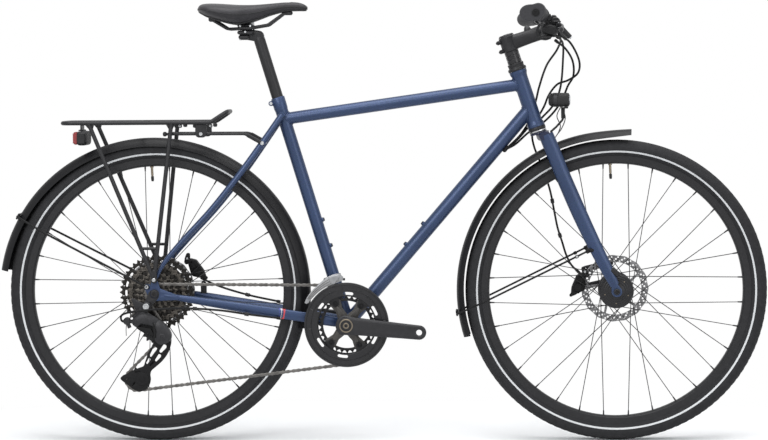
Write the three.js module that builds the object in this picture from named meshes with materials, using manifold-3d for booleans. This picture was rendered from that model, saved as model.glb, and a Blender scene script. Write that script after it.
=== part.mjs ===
import * as THREE from 'three';
import { mergeVertices } from 'three/addons/utils/BufferGeometryUtils.js';
import Module from 'manifold-3d';

// A touring bicycle with fenders, a rear rack, disc brakes and a derailleur drive.
// Millimetres and radians. +X is forward, +Z is up, and the chain runs on the -Y side.
// Most places are measured from the bottom bracket, which has x = 0 and y = 0.

const wasm = await Module();
wasm.setup();

const degree = Math.PI / 180;
const right = -1;
const left = 1;
const sides = [['right', right], ['left', left]];

// Clearances shared by all pieces
const touchGap = 0.3;
const runningGap = 0.6;
const overrun = 20;

// Stance
const wheelbase = 1087;
const chainstayLength = 458;
const bottomBracketDrop = 76;
const headTubeAngle = 71.7 * degree;
const seatTubeAngle = 73.1 * degree;
const forkRake = 55;
const forkLength = 413;
const seatTubeLength = 560;

// Wheels
const tyreRadius = 356;
const tyreWidth = 47;
const tyreWall = 3.4;
const rimRadius = 317;
const rimDepth = 18.5;
const rimWidth = 25;
const rimWall = 2.4;
const spokeCount = 32;
const spokeRadius = 1.1;
const spokeCrossings = 3;
const valveRadius = 3;
const valveLength = 36;
const wheelFacets = 32;
const rimInnerRadius = rimRadius - rimDepth;

// Hubs and brake rotors
const axleRadius = 4.8;
const axleNutRadius = 9.5;
const axleNutLength = 7;
const axleNutTaper = 0.75;
const frontFlangeRadius = 41;
const frontShellRadius = 36;
const frontFlangeSpread = 27;
const frontFlangeWall = 5;
const rearFlangeRadius = 28;
const rearShellRadius = 17;
const rearFlangeRight = -17;
const rearFlangeLeft = 33;
const rearFlangeWall = 4;
const rotorRadius = 80;
const rotorBand = 14;
const rotorThickness = 1.9;
const frontRotorOffset = 42;
const rearRotorOffset = 53;
const rotorArms = 5;
const rotorCarrier = 24;
const rotorSeat = 20;
const rotorWaveDepth = 1.4;
const rotorArmRadius = 3;

// Frame tubes
const headTubeRadius = 18;
const headTubeLength = 140;
const lowerCupHeight = 12.5;
const upperCupHeight = 18;
const cupRadius = 20.7;
const steererRadius = 14.3;
const steererWall = 2.5;
const topTubeRadius = 14.3;
const topTubeDropAtHead = 34;
const topTubeDropAtSeat = 53;
const downTubeRadius = 16;
const downTubeRise = 46;
const tubeWall = 2;
const seatPostRadius = 13.6;
const seatTubeWall = 1.4;
const shellRadius = 20.5;
const shellHalfWidth = 34;
const shellCupWidth = 9;
const headFlare = 7;
const cupRim = 3;
const bossRadius = 5;
const bossHeight = 3;
const bossSpacing = 64;
const downBossStart = 232;
const seatBossStart = 188;
const binderDrop = 9;
const binderRadius = 6;
const binderHalfWidth = 11;
const tubeFacets = 10;
const mitreFacets = 12;

// Rear triangle
const frontDropoutInside = 50;
const rearDropoutInside = 67.5;
const dropoutThickness = 7;
const dropoutRadius = 17;
const stayInset = 23;
const chainstayTall = 12;
const chainstayWide = 7.4;
const seatstayRadius = 7.6;
const seatstayTopDrop = 42;
const seatstayTopInset = 21;
const seatstayFootRise = 29;
const hangerDrop = 28;
const hangerSetback = 18;
const hangerRadius = 9;
const stayScrewRadius = 7;
const lowerScrewBack = 18;
const lowerScrewRise = 17;
const seatstayBow = 11;
const brakeTabRadius = 7;
const brakeTabDepth = 8;
const brakeTabAhead = 54;
const brakeTabRise = 22;
const brakeTabSpacing = 46;
const brakeTabStep = 10;

// Fork
const forkCrownHeight = 22;
const forkCrownHalfWidth = 54;
const forkCrownDepth = 31.5;
const forkCrownForward = 8;
const bladeTopInset = 42.5;
const bladeTopForward = 13;
const bladeTall = 15;
const bladeWide = 12.5;
const eyeHeight = 70;
const eyeBehindAxle = 20;

// Brakes: the calipers by their places behind and above the axles
const frontCaliperBack = 82;
const frontCaliperRise = 12;
const frontTabRises = [34, -8];
const frontTabStart = 12;
const frontTabReach = 76;
const frontTabSlope = 14;
const rearCaliperAhead = 80;
const rearCaliperRise = 50;
const caliperCheek = 13;
const caliperHalfLength = 26;
const caliperHalfTall = 15;

// Fenders
const fenderWidth = 54;
const fenderDepth = 17;
const fenderWall = 1.6;
const frontFenderRadius = 377;
const frontFenderStart = 84.4 * degree;
const frontFenderEnd = 197.2 * degree;
const rearFenderRadius = 373.5;
const rearFenderSetback = 9;
const rearFenderSink = 6;
const rearFenderStart = -13 * degree;
const rearFenderEnd = 170.8 * degree;
const fenderStayRadius = 2;
const fenderStrutRadius = 6;
const stayClipRadius = 6;
const stayClipLength = 46;

// Rack
const rackTubeRadius = 5;
const rackDeckHeight = 759;
const rackHalfWidth = 58;
const rackRearReach = 670;
const rackFrontReach = 313;
const rackHoopReach = 270;
const rackHoopRise = 25;
const rackCrossbars = 3;
const rackLegOut = 12;
const rackRearLegReach = 605;
const rackFrontLegReach = 409;
const rackRodRadius = 4;
const rackRodHeight = 741;
const rackRodStart = 424;
const rackRodKnee = 236;
const rackRodEnd = 199;
const rackRodDrop = 34;
const rackClampReach = 342;
const rackClampLength = 22;
const tailLightLength = 32;
const tailLightHeight = 34;
const tailLightWidth = 84;
const tailLightDrop = 14;
const lampPlateThickness = 3;
const lampPlateLength = 12;

// Drive
const chainPitch = 12.7;
const chainWidth = 5.9;
const chainInnerWidth = 4.4;
const chainHeight = 8.2;
const chainWaist = 5.6;
const toothThickness = 2;
const toothDepth = 3.4;
const bigRingTeeth = 46;
const smallRingTeeth = 32;
const cogTeeth = [11, 13, 15, 18, 21, 24, 28, 34, 43];
const pulleyTeeth = 13;
const bigRingOffset = -50;
const smallRingOffset = -44;
const firstCogOffset = -60;
const cogSpacing = 4.35;
const cogThickness = 1.6;
const cogCoreRadius = 16.5;
const crankLength = 172.5;
const crankAngle = -5.3 * degree;
const crankArmInside = 62;
const crankArmThickness = 16;
const crankTipThickness = 13;
const crankBossRadius = 21.5;
const crankTipRadius = 15.5;
const crankWaistRadius = 15;
const spindleRadius = 12;
const boltCircleRadius = 56;
const spiderBossRadius = 9;
const guardOffset = -57;
const guardRadius = 100;
const guardBand = 14;
const guardThickness = 2.4;
const pedalHoleRadius = 6.9;
const guardLugRadius = 4;
const ringWindowRadius = 7;

// Derailleurs
const cageSetback = 432.7;
const cageHeight = 256.8;
const guidePulleySetback = 457;
const guidePulleyHeight = 268;
const tensionPulleySetback = 497.8;
const tensionPulleyHeight = 152.1;
const cageGap = 4.4;
const cagePlate = 1.8;
const pulleyPinRadius = 2.6;
const cagePivotRadius = 12;
const guideEndRadius = 14;
const tensionEndRadius = 13;
const cageTipRadius = 8;
const cageStopRadius = 2;
const cageWindowRadius = 7;
const derailleurDepth = 18;
const derailleurRise = 33;
const linkRearSetback = 515;
const linkFrontSetback = 441;
const linkRearRadius = 9;
const linkFrontRadius = 10;
const upperKnuckleRadius = 12;
const lowerKnuckleRadius = 16;
const hangerBoltRadius = 5;
const bandRise = 118;
const bandHeight = 16;
const bandWall = 3;
const guideInner = 102;
const guideOuter = 113;
const guideGap = 6;
const guideWall = 1.2;
const guideArmRadius = 5;
const guideBridgeRadius = 4;
const guideTailRadius = 3;

// Seat
const seatPostInsert = 110;
const seatPostExposed = 152;
const saddleLength = 257;
const saddleWidth = 162;
const saddleStack = 80;
const saddleBehindPost = 140;
const saddleClampBehind = 30;
const saddleRailRadius = 3.5;
const saddleRailSpread = 22;
const saddleDepth = 58;
const railBelowCrown = 62;
const railNoseRise = 36;
const railTailRise = 20;
const seatClampLength = 38;
const seatClampHeight = 26;

// Cockpit
const stemClampHeight = 36;
const spacerHeight = 30;
const stemClampRadius = 19.5;
const barRadius = 15.9;
const barTubeRadius = 11.1;
const barClampHeight = 968;
const barClampReach = 470.5;
const barRise = 36;
const barSweep = 27;
const barHalfWidth = 305;
const gripLength = 128;
const gripRadius = 16.5;
const gripWing = 21;
const plugWall = 5;
const stemClampWall = 6;
const stemHalfWidth = 16;
const stemFlare = 3;
const stemHalfTall = 14.5;
const spacerStep = 2.5;
const spacerGroove = 0.8;
const stemCapHeight = 5;
const barClampHalf = 23;

// Levers and shifters, by their places from the bar at the middle of their clamp
const controlGap = 17;
const controlClampHalf = 11;
const controlClampWall = 4.5;
const controlInset = barHalfWidth - gripLength - controlGap;
const cylinderRadius = 10.5;
const cylinderAhead = 26;
const cylinderInside = 34;
const cylinderDrop = 12;
const leverPivotForward = 36;
const leverPivotDrop = 24;
const leverPivotOut = 12;
const leverLength = 118;
const leverBow = 16;
const leverDrop = 12;
const leverBladeTall = 5;
const leverBladeThick = 4;
const cylinderShort = 6;
const cylinderOut = 8;
const shifterAhead = 16;
const shifterInside = 2;
const shifterDrop = 34;
const shifterHalfLong = 20;
const shifterHalfTall = 12;
const shifterHalfWidth = 20;
const shifterArmRadius = 7;
const shifterArmAhead = 8;
const paddleReach = 34;
const paddleHalfWide = 9;
const paddleHalfTall = 2.6;
const paddleAhead = 5;

// Headlight and cables
const headlightLength = 48;
const headlightTall = 33;
const headlightHalfWidth = 30;
const headlightRearX = 478;
const headlightHeight = 806;
const headlightPostX = 512;
const headlightPostFoot = 760;
const headlightArmRadius = 3.5;
const headlightArmSag = 2;
const armBend = 10;
const cableRadius = 2.5;
const plugX = 377;
const plugHeight = 691;
const plugHalfLong = 9;
const plugHalfWide = 13;
const routeUnit = 1;

// Finishes
const frameBlue = { color: 0x35456f, roughness: 0.42, metalness: 0.55 };
const satinBlack = { color: 0x17181a, roughness: 0.5, metalness: 0.4 };
const mattBlack = { color: 0x1c1d1f, roughness: 0.75, metalness: 0.05 };
const tyreBlack = { color: 0x262728, roughness: 0.9, metalness: 0 };
const rubberBlack = { color: 0x19191a, roughness: 0.85, metalness: 0 };
const silver = { color: 0xb4b7ba, roughness: 0.32, metalness: 0.9 };
const darkSteel = { color: 0x3a3733, roughness: 0.42, metalness: 0.8 };
const crankGrey = { color: 0x3b3d40, roughness: 0.4, metalness: 0.6 };
const chainSteel = { color: 0x6d6f70, roughness: 0.4, metalness: 0.85 };
const lampRed = { color: 0x5a1414, roughness: 0.3, metalness: 0 };

// Places worked out from the stance
const shellHeight = tyreRadius - bottomBracketDrop;
const rearAxleX = -Math.sqrt(chainstayLength ** 2 - bottomBracketDrop ** 2);
const frontAxleX = rearAxleX + wheelbase;
const shell = point(0, 0, shellHeight);
const rearAxle = point(rearAxleX, 0, tyreRadius);
const frontAxle = point(frontAxleX, 0, tyreRadius);
const across = point(0, 1, 0);
const steeringUp = point(-Math.cos(headTubeAngle), 0, Math.sin(headTubeAngle));
const steeringForward = point(Math.sin(headTubeAngle), 0, Math.cos(headTubeAngle));
const steeringFoot = frontAxle.clone().addScaledVector(steeringForward, -forkRake);
const seatUp = point(-Math.cos(seatTubeAngle), 0, Math.sin(seatTubeAngle));
const seatForward = point(Math.sin(seatTubeAngle), 0, Math.cos(seatTubeAngle));
const headTubeStart = forkLength + lowerCupHeight;
const headTubeEnd = headTubeStart + headTubeLength;
const stackStart = headTubeEnd + upperCupHeight;
const stemStart = stackStart + spacerHeight;
const stemEnd = stemStart + stemClampHeight;
const seatTubeRadius = seatPostRadius + touchGap / 2 + seatTubeWall;
const postTop = onSeatTube(seatTubeLength + seatPostExposed);
const saddleCrownHeight = postTop.z + saddleStack;
const saddleRearX = postTop.x - saddleBehindPost;

const bicycle = new THREE.Group();

function point(x, y, z) {
  return new THREE.Vector3(x, y, z);
}

// A place by its distance up the steering axis, and in front of and beside it
function onSteering(up, forward = 0, side = 0) {
  return steeringFoot.clone().addScaledVector(steeringUp, up)
    .addScaledVector(steeringForward, forward).addScaledVector(across, side);
}

// A place by its distance up the seat tube from the bottom bracket
function onSeatTube(up, forward = 0, side = 0) {
  return shell.clone().addScaledVector(seatUp, up)
    .addScaledVector(seatForward, forward).addScaledVector(across, side);
}

// Joins equal points, drops empty triangles and turns the faces out
function tidy(geometry) {
  const bare = geometry.clone();
  bare.deleteAttribute('normal');
  bare.deleteAttribute('uv');
  const merged = mergeVertices(bare);
  const places = merged.getAttribute('position');
  const source = merged.getIndex().array;
  const faces = [];
  let volume = 0;
  const a = new THREE.Vector3();
  const b = new THREE.Vector3();
  const c = new THREE.Vector3();
  for (let i = 0; i < source.length; i += 3) {
    const [p, q, r] = [source[i], source[i + 1], source[i + 2]];
    if (p === q || q === r || r === p) continue;
    faces.push(p, q, r);
    a.fromBufferAttribute(places, p);
    b.fromBufferAttribute(places, q);
    c.fromBufferAttribute(places, r);
    volume += a.dot(b.cross(c));
  }
  if (volume < 0) faces.reverse();
  merged.setIndex(faces);
  return merged;
}

function toSolid(geometry) {
  const clean = tidy(geometry);
  const vertProperties = new Float32Array(clean.getAttribute('position').array);
  const triVerts = new Uint32Array(clean.getIndex().array);
  return new wasm.Manifold(new wasm.Mesh({ numProp: 3, vertProperties, triVerts }));
}

function fromSolid(solid) {
  const mesh = solid.getMesh();
  const geometry = new THREE.BufferGeometry();
  geometry.setAttribute('position', new THREE.Float32BufferAttribute(mesh.vertProperties, 3));
  geometry.setIndex(Array.from(mesh.triVerts));
  return geometry;
}

function join(...geometries) {
  const solids = geometries.map(toSolid);
  return fromSolid(solids.reduce((whole, solid) => whole.add(solid)));
}

function cut(geometry, ...cutters) {
  const solids = cutters.map(toSolid);
  return fromSolid(solids.reduce((whole, solid) => whole.subtract(solid), toSolid(geometry)));
}

// A closed solid through rings of equal count, with flat ends or closed on itself
function loft(rings, loop = false, endFaces = null) {
  const count = rings[0].length;
  const faces = [];
  const spans = loop ? rings.length : rings.length - 1;
  for (let r = 0; r < spans; r++) {
    const a = r * count;
    const b = ((r + 1) % rings.length) * count;
    for (let i = 0; i < count; i++) {
      const j = (i + 1) % count;
      faces.push(a + i, a + j, b + j, a + i, b + j, b + i);
    }
  }
  if (!loop) {
    const last = (rings.length - 1) * count;
    const ends = endFaces ?? Array.from({ length: count - 2 }, (_, i) => [0, i + 1, i + 2]);
    for (const [i, j, k] of ends) {
      faces.push(k, j, i, last + i, last + j, last + k);
    }
  }
  const geometry = new THREE.BufferGeometry().setFromPoints(rings.flat());
  geometry.setIndex(faces);
  return tidy(geometry);
}

// A flat outline as a ring in space
function ring(centre, sideways, upwards, outline) {
  return outline.map(([s, u]) => centre.clone()
    .addScaledVector(sideways, s).addScaledVector(upwards, u));
}

function oval(halfSide, halfUp, facets) {
  return Array.from({ length: facets }, (_, i) => {
    const angle = (i + 0.5) * 2 * Math.PI / facets;
    return [halfSide * Math.cos(angle), halfUp * Math.sin(angle)];
  });
}

// The direction of a path at one of its points, halfway through a bend
function heading(path, i) {
  const here = path[i];
  const sum = new THREE.Vector3();
  if (i > 0) sum.add(here.clone().sub(path[i - 1]).normalize());
  if (i < path.length - 1) sum.add(path[i + 1].clone().sub(here).normalize());
  return sum.normalize();
}

// A solid of oval section along a path. sizeAt gives the two half sizes at each point.
function sweep(path, sizeAt, facets, sideways = across) {
  return loft(path.map((here, i) => {
    const forward = heading(path, i);
    const side = sideways.clone().addScaledVector(forward, -sideways.dot(forward)).normalize();
    const up = new THREE.Vector3().crossVectors(forward, side);
    const [wide, tall] = sizeAt(i / (path.length - 1), i);
    return ring(here, side, up, oval(wide, tall, facets));
  }));
}

// Straight runs joined by round bends
function rounded(corners, radius, steps) {
  const path = [corners[0]];
  for (let i = 1; i < corners.length - 1; i++) {
    const back = corners[i - 1].clone().sub(corners[i]);
    const ahead = corners[i + 1].clone().sub(corners[i]);
    const half = back.angleTo(ahead) / 2;
    const room = Math.min(back.length(), ahead.length()) / 2;
    const reach = Math.min(radius / Math.tan(half), room);
    const start = corners[i].clone().addScaledVector(back.normalize(), reach);
    const end = corners[i].clone().addScaledVector(ahead.normalize(), reach);
    path.push(...new THREE.QuadraticBezierCurve3(start, corners[i], end).getPoints(steps));
  }
  path.push(corners.at(-1));
  return path.filter((p, i) => i === 0 || p.distanceTo(path[i - 1]) > touchGap);
}

function bentTube(corners, radius, bendRadius, facets = 8, sideways = across) {
  return sweep(rounded(corners, bendRadius, 2), () => [radius, radius], facets, sideways);
}

// A tube round a closed path
function closedTube(path, radius, facets, sideways) {
  const around = [path.at(-1), ...path, path[0]];
  const rings = path.map((here, i) => {
    const forward = heading(around.slice(i, i + 3), 1);
    const side = sideways.clone().addScaledVector(forward, -sideways.dot(forward)).normalize();
    return ring(here, side, new THREE.Vector3().crossVectors(forward, side), oval(radius, radius, facets));
  });
  return loft(rings, true);
}

// A round hose along a smooth curve through its points
function hose(points, radius, steps, facets = 8) {
  const section = new THREE.Shape(oval(radius, radius, facets).map(([x, y]) => new THREE.Vector2(x, y)));
  const route = new THREE.CatmullRomCurve3(points);
  return tidy(new THREE.ExtrudeGeometry(section, { steps, extrudePath: route, curveSegments: 1 }));
}

// A round bar between two points, with a second radius for its far end
function bar(from, to, radius, facets = tubeFacets, endRadius = radius) {
  const length = from.distanceTo(to);
  const geometry = new THREE.CylinderGeometry(endRadius, radius, length, facets);
  return aim(geometry.translate(0, length / 2, 0), from, to.clone().sub(from).normalize());
}

// Turns a shape made along Y to another direction and moves its origin
function aim(geometry, origin, direction) {
  const turn = new THREE.Quaternion().setFromUnitVectors(across, direction);
  return geometry.applyQuaternion(turn).translate(origin.x, origin.y, origin.z);
}

// A body of revolution about Y from [radius, along] pairs that close on themselves
function revolve(profile, facets) {
  const outline = [...profile, profile[0]].map(([radius, along]) => new THREE.Vector2(radius, along));
  return tidy(new THREE.LatheGeometry(outline, facets));
}

// A flat plate in the XZ plane between two places on Y
function plate(shape, from, to) {
  const depth = Math.abs(to - from);
  const geometry = new THREE.ExtrudeGeometry(shape, { depth, bevelEnabled: false, curveSegments: 4 });
  return tidy(geometry.rotateX(Math.PI / 2).translate(0, Math.max(from, to), 0));
}

// The convex outline round a set of [x, z, radius] circles
function hullShape(circles, facets = 8) {
  const points = circles.flatMap(([x, z, radius]) => Array.from({ length: facets }, (_, i) => {
    const angle = i * 2 * Math.PI / facets;
    return new THREE.Vector2(x + radius * Math.cos(angle), z + radius * Math.sin(angle));
  }));
  points.sort((p, q) => p.x - q.x || p.y - q.y);
  const turn = (o, p, q) => (p.x - o.x) * (q.y - o.y) - (p.y - o.y) * (q.x - o.x);
  const chain = (list) => {
    const hull = [];
    for (const p of list) {
      while (hull.length > 1 && turn(hull.at(-2), hull.at(-1), p) <= 0) hull.pop();
      hull.push(p);
    }
    return hull.slice(0, -1);
  };
  return new THREE.Shape([...chain(points), ...chain([...points].reverse())]);
}

function circleShape(radius, facets, x = 0, z = 0) {
  return new THREE.Shape(Array.from({ length: facets }, (_, i) => {
    const angle = i * 2 * Math.PI / facets;
    return new THREE.Vector2(x + radius * Math.cos(angle), z + radius * Math.sin(angle));
  }));
}

function box(sizeX, sizeY, sizeZ, centre, direction = null) {
  const geometry = new THREE.BoxGeometry(sizeX, sizeY, sizeZ);
  if (direction) geometry.rotateY(Math.atan2(direction.x, direction.z));
  return geometry.translate(centre.x, centre.y, centre.z);
}

function add(name, geometry, finish, parent = bicycle) {
  const mesh = new THREE.Mesh(tidy(geometry), new THREE.MeshStandardMaterial(finish));
  mesh.name = name;
  parent.add(mesh);
  return mesh;
}

function groupAt(place) {
  const group = new THREE.Group();
  group.position.copy(place);
  bicycle.add(group);
  return group;
}

function pitchRadius(teeth) {
  return chainPitch / (2 * Math.sin(Math.PI / teeth));
}

// The outline of a sprocket, with a valley and a flat tip for each tooth
function toothShape(teeth, pointed = false) {
  const tip = pitchRadius(teeth) + toothDepth;
  const root = pitchRadius(teeth) - toothDepth;
  const tipShares = pointed ? [0.5] : [0.4, 0.6];
  const points = [];
  for (let tooth = 0; tooth < teeth; tooth++) {
    const turnAt = (share) => (tooth + share) * 2 * Math.PI / teeth;
    points.push(new THREE.Vector2(root * Math.cos(turnAt(0)), root * Math.sin(turnAt(0))));
    for (const share of tipShares) {
      points.push(new THREE.Vector2(tip * Math.cos(turnAt(share)), tip * Math.sin(turnAt(share))));
    }
  }
  return new THREE.Shape(points);
}

function withHole(shape, radius, facets, x = 0, z = 0) {
  shape.holes.push(new THREE.Path(circleShape(radius, facets, x, z).getPoints()));
  return shape;
}

// Main tubes, hollow and mitred to what they meet
function hollowBar(from, to, radius, wall) {
  const along = to.clone().sub(from).normalize();
  const bore = bar(from.clone().addScaledVector(along, -overrun),
    to.clone().addScaledVector(along, overrun), radius - wall);
  return [bar(from, to, radius), bore];
}

function buildFrame() {
  const headLow = onSteering(headTubeStart);
  const headHigh = onSteering(headTubeEnd);
  const seatHigh = onSeatTube(seatTubeLength);
  const topAtHead = onSteering(headTubeEnd - topTubeDropAtHead);
  const topAtSeat = onSeatTube(seatTubeLength - topTubeDropAtSeat);
  const downAtHead = onSteering(headTubeStart + downTubeRise);

  // Head tube with its flared ends and the two bearing cups pressed into them
  const boreRadius = steererRadius + runningGap;
  add('head_tube', aim(revolve([
    [boreRadius, -lowerCupHeight], [cupRadius - tubeWall, -lowerCupHeight], [cupRadius, -tubeWall],
    [cupRadius, headFlare], [headTubeRadius, headFlare * 2],
    [headTubeRadius, headTubeLength - headFlare * 2], [cupRadius, headTubeLength - headFlare],
    [cupRadius, headTubeLength + upperCupHeight / 2], [cupRadius + tubeWall / 2, headTubeLength + upperCupHeight],
    [boreRadius, headTubeLength + upperCupHeight],
  ], mitreFacets), headLow, steeringUp), frameBlue);

  const weld = touchGap;
  const headCutter = bar(headLow.clone().addScaledVector(steeringUp, -overrun),
    headHigh.clone().addScaledVector(steeringUp, overrun), headTubeRadius + weld, mitreFacets);
  const seatCutter = bar(shell, seatHigh.clone().addScaledVector(seatUp, overrun),
    seatTubeRadius + weld, mitreFacets);
  const shellCutter = bar(point(0, -shellHalfWidth * 2, shellHeight),
    point(0, shellHalfWidth * 2, shellHeight), shellRadius + weld, mitreFacets);

  const [topOuter, topBore] = hollowBar(topAtSeat, topAtHead, topTubeRadius, tubeWall);
  add('top_tube', cut(topOuter, topBore, headCutter, seatCutter), frameBlue);

  // Down tube with two bottle bosses on its upper side
  const downAlong = downAtHead.clone().sub(shell).normalize();
  const downUp = downTubeUp();
  const bosses = [0, 1].map((i) => {
    const foot = shell.clone().addScaledVector(downAlong, downBossStart + i * bossSpacing)
      .addScaledVector(downUp, downTubeRadius - tubeWall);
    return bar(foot, foot.clone().addScaledVector(downUp, tubeWall + bossHeight), bossRadius, 8);
  });
  const [downOuter, downBore] = hollowBar(shell, downAtHead, downTubeRadius, tubeWall);
  add('down_tube', cut(join(cut(downOuter, downBore), ...bosses), headCutter, seatCutter, shellCutter),
    frameBlue);

  // Seat tube, bored for the post, with the binder ears behind its top and two bottle bosses
  const earBack = seatTubeRadius + binderRadius / 2;
  const ears = bar(onSeatTube(seatTubeLength - binderDrop, -earBack, -binderHalfWidth),
    onSeatTube(seatTubeLength - binderDrop, -earBack, binderHalfWidth), binderRadius, 8);
  const slot = box(seatTubeRadius * 2, tubeWall, binderDrop * 4,
    onSeatTube(seatTubeLength, -earBack), seatUp);
  const seatBosses = [0, 1].map((i) => {
    const foot = onSeatTube(seatBossStart + i * bossSpacing, seatTubeRadius - seatTubeWall);
    return bar(foot, foot.clone().addScaledVector(seatForward, seatTubeWall + bossHeight), bossRadius, 8);
  });
  const seatBore = bar(shell.clone().addScaledVector(seatUp, -overrun),
    seatHigh.clone().addScaledVector(seatUp, overrun), seatPostRadius + touchGap / 2, mitreFacets);
  add('seat_tube', cut(join(bar(shell, seatHigh, seatTubeRadius, mitreFacets), ears, ...seatBosses),
    seatBore, shellCutter, slot), frameBlue);

  // Bottom bracket shell with the two bearing cups screwed into its ends
  const spindleBore = spindleRadius + runningGap;
  add('bottom_bracket_shell', revolve([
    [spindleBore, -shellHalfWidth - shellCupWidth], [shellRadius - cupRim, -shellHalfWidth - shellCupWidth],
    [shellRadius - cupRim, -shellHalfWidth], [shellRadius, -shellHalfWidth],
    [shellRadius, shellHalfWidth], [shellRadius - cupRim, shellHalfWidth],
    [shellRadius - cupRim, shellHalfWidth + shellCupWidth], [spindleBore, shellHalfWidth + shellCupWidth],
  ], mitreFacets).translate(0, 0, shellHeight), frameBlue);

  for (const [name, side] of sides) {
    add(`chainstay_${name}`, chainstay(side, shellCutter), frameBlue);
    add(`seatstay_${name}`, seatstay(side, seatCutter), frameBlue);
  }
}

// Shares of the run from the bottom bracket to the axle: along it, out to the dropout, tall, wide
const chainstayShares = [
  [0.03, 0, 1, 0.9], [0.1, 0.2, 1, 0.8], [0.16, 0.25, 1, 0.68], [0.24, 0.34, 1, 0.78],
  [0.44, 0.54, 1, 1], [0.72, 0.8, 0.8, 0.95], [0.88, 0.95, 0.6, 0.75], [0.95, 1, 0.5, 0.5],
];

function dropoutMiddle() {
  return rearDropoutInside + dropoutThickness / 2;
}

// A chainstay with the dropout plate that ends it
function chainstay(side, shellCutter) {
  const path = chainstayShares.map(([along, out]) => {
    const place = shell.clone().lerp(rearAxle, along);
    place.y = side * (stayInset + touchGap + out * (dropoutMiddle() - stayInset));
    return place;
  });
  const stay = sweep(path, (_, i) => {
    const [, , tall, wide] = chainstayShares[i];
    return [chainstayWide * wide, chainstayTall * tall];
  }, 8);
  const foot = stayFoot();
  const axle = [rearAxle.x, rearAxle.z, dropoutRadius];
  const inside = side * rearDropoutInside;
  const outside = side * (rearDropoutInside + dropoutThickness);
  const plates = [
    plate(hullShape([axle, [foot.x, foot.z, stayScrewRadius]]), inside, outside),
    plate(hullShape([axle, [path.at(-2).x, path.at(-2).z, dropoutRadius / 3]]), inside, outside),
    plate(hullShape([axle, [lowerScrew().x, lowerScrew().z, stayScrewRadius]]), inside, outside),
  ];
  if (side === right) {
    plates.push(plate(hullShape([axle, [hanger().x, hanger().z, hangerRadius]]), inside, outside));
  } else {
    plates.push(...rearCaliperTabs());
  }
  const axleHole = bar(point(rearAxle.x, 0, rearAxle.z), point(rearAxle.x, side * rearDropoutInside * 2, rearAxle.z),
    axleRadius + runningGap);
  return cut(join(stay, ...plates), shellCutter, axleHole);
}

// Where the seatstay ends on the dropout, above the axle
function stayFoot() {
  return point(rearAxle.x + touchGap, 0, rearAxle.z + seatstayFootRise);
}

// The lower of the two screws behind the dropout
function lowerScrew() {
  return point(rearAxle.x - lowerScrewBack, 0, rearAxle.z + lowerScrewRise);
}

// The pivot of the derailleur below the right dropout
function hanger() {
  return point(rearAxle.x - hangerSetback, 0, rearAxle.z - hangerDrop);
}

// Shares of the seatstay from top to foot: along it, out to the dropout, bow behind, thickness
const seatstayShares = [
  [0, 0, 0, 1], [0.14, 0.2, -0.3, 1], [0.34, 0.5, -0.55, 1], [0.56, 0.68, -0.35, 0.95],
  [0.76, 0.82, 0.5, 0.9], [0.9, 0.95, 0.8, 0.72], [1, 1, 0, 0.45],
];
function seatstayPath(side) {
  const top = onSeatTube(seatTubeLength - seatstayTopDrop, -touchGap);
  const foot = stayFoot();
  const lift = new THREE.Vector3().crossVectors(across, foot.clone().sub(top)).normalize();
  return seatstayShares.map(([along, out, bow]) => {
    const place = top.clone().lerp(foot, along).addScaledVector(lift, bow * seatstayBow);
    place.y = side * (seatstayTopInset + out * (dropoutMiddle() - seatstayTopInset));
    return place;
  });
}

function seatstay(side, seatCutter) {
  const path = seatstayPath(side);
  const stay = sweep(path, (_, i) => {
    const size = seatstayRadius * seatstayShares[i][3];
    return [size, size];
  }, 8);
  const foot = stayFoot();
  const footCutter = plate(hullShape([
    [foot.x, foot.z, stayScrewRadius + touchGap], [rearAxle.x, rearAxle.z, dropoutRadius + touchGap],
  ]), side * (rearDropoutInside - touchGap), side * (rearDropoutInside + dropoutThickness + touchGap));
  return cut(side === left ? join(stay, seatstayBridge()) : stay, seatCutter, footCutter);
}

// The bridge between the seatstays above the tyre, which also holds the fender
function seatstayBridge() {
  const share = 0.22;
  const place = seatstayPath(left)[1].clone().lerp(seatstayPath(left)[2], share);
  const end = point(place.x, -place.y + seatstayRadius + touchGap, place.z);
  return bar(place, end, seatstayRadius * 0.7, 8);
}

// Two lugs above the left chainstay that carry the rear brake
function rearCaliperTabs() {
  return [0, 1].map((i) => {
    const ahead = brakeTabAhead + i * brakeTabSpacing;
    const top = [rearAxle.x + ahead, rearAxle.z + brakeTabRise - i * brakeTabStep, brakeTabRadius];
    const foot = [rearAxle.x + ahead, rearAxle.z - ahead / 6, brakeTabRadius];
    return plate(hullShape([top, foot]), rearTabInside, rearDropoutInside);
  });
}

const rearTabInside = rearDropoutInside - brakeTabDepth;

// Hubs turn on axles that stand fixed in the dropouts
function axle(dropoutOuter) {
  return revolve([
    [0, -dropoutOuter - axleNutLength], [axleNutRadius * axleNutTaper, -dropoutOuter - axleNutLength],
    [axleNutRadius, -dropoutOuter - touchGap], [axleRadius, -dropoutOuter - touchGap],
    [axleRadius, dropoutOuter + touchGap], [axleNutRadius, dropoutOuter + touchGap],
    [axleNutRadius * axleNutTaper, dropoutOuter + axleNutLength], [0, dropoutOuter + axleNutLength],
  ], tubeFacets);
}

// The tyre as a real casing: tread and side walls outside, hollow inside, open where it meets the rim.
// Shares of its height above the rim, and of its width.
const tyreOuterShares = [[0, 0.26], [0.42, 0.5], [0.8, 0.4], [1, 0]];
const tyreInnerShares = [[0, 0.26], [0.6, 0.46]];

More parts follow.
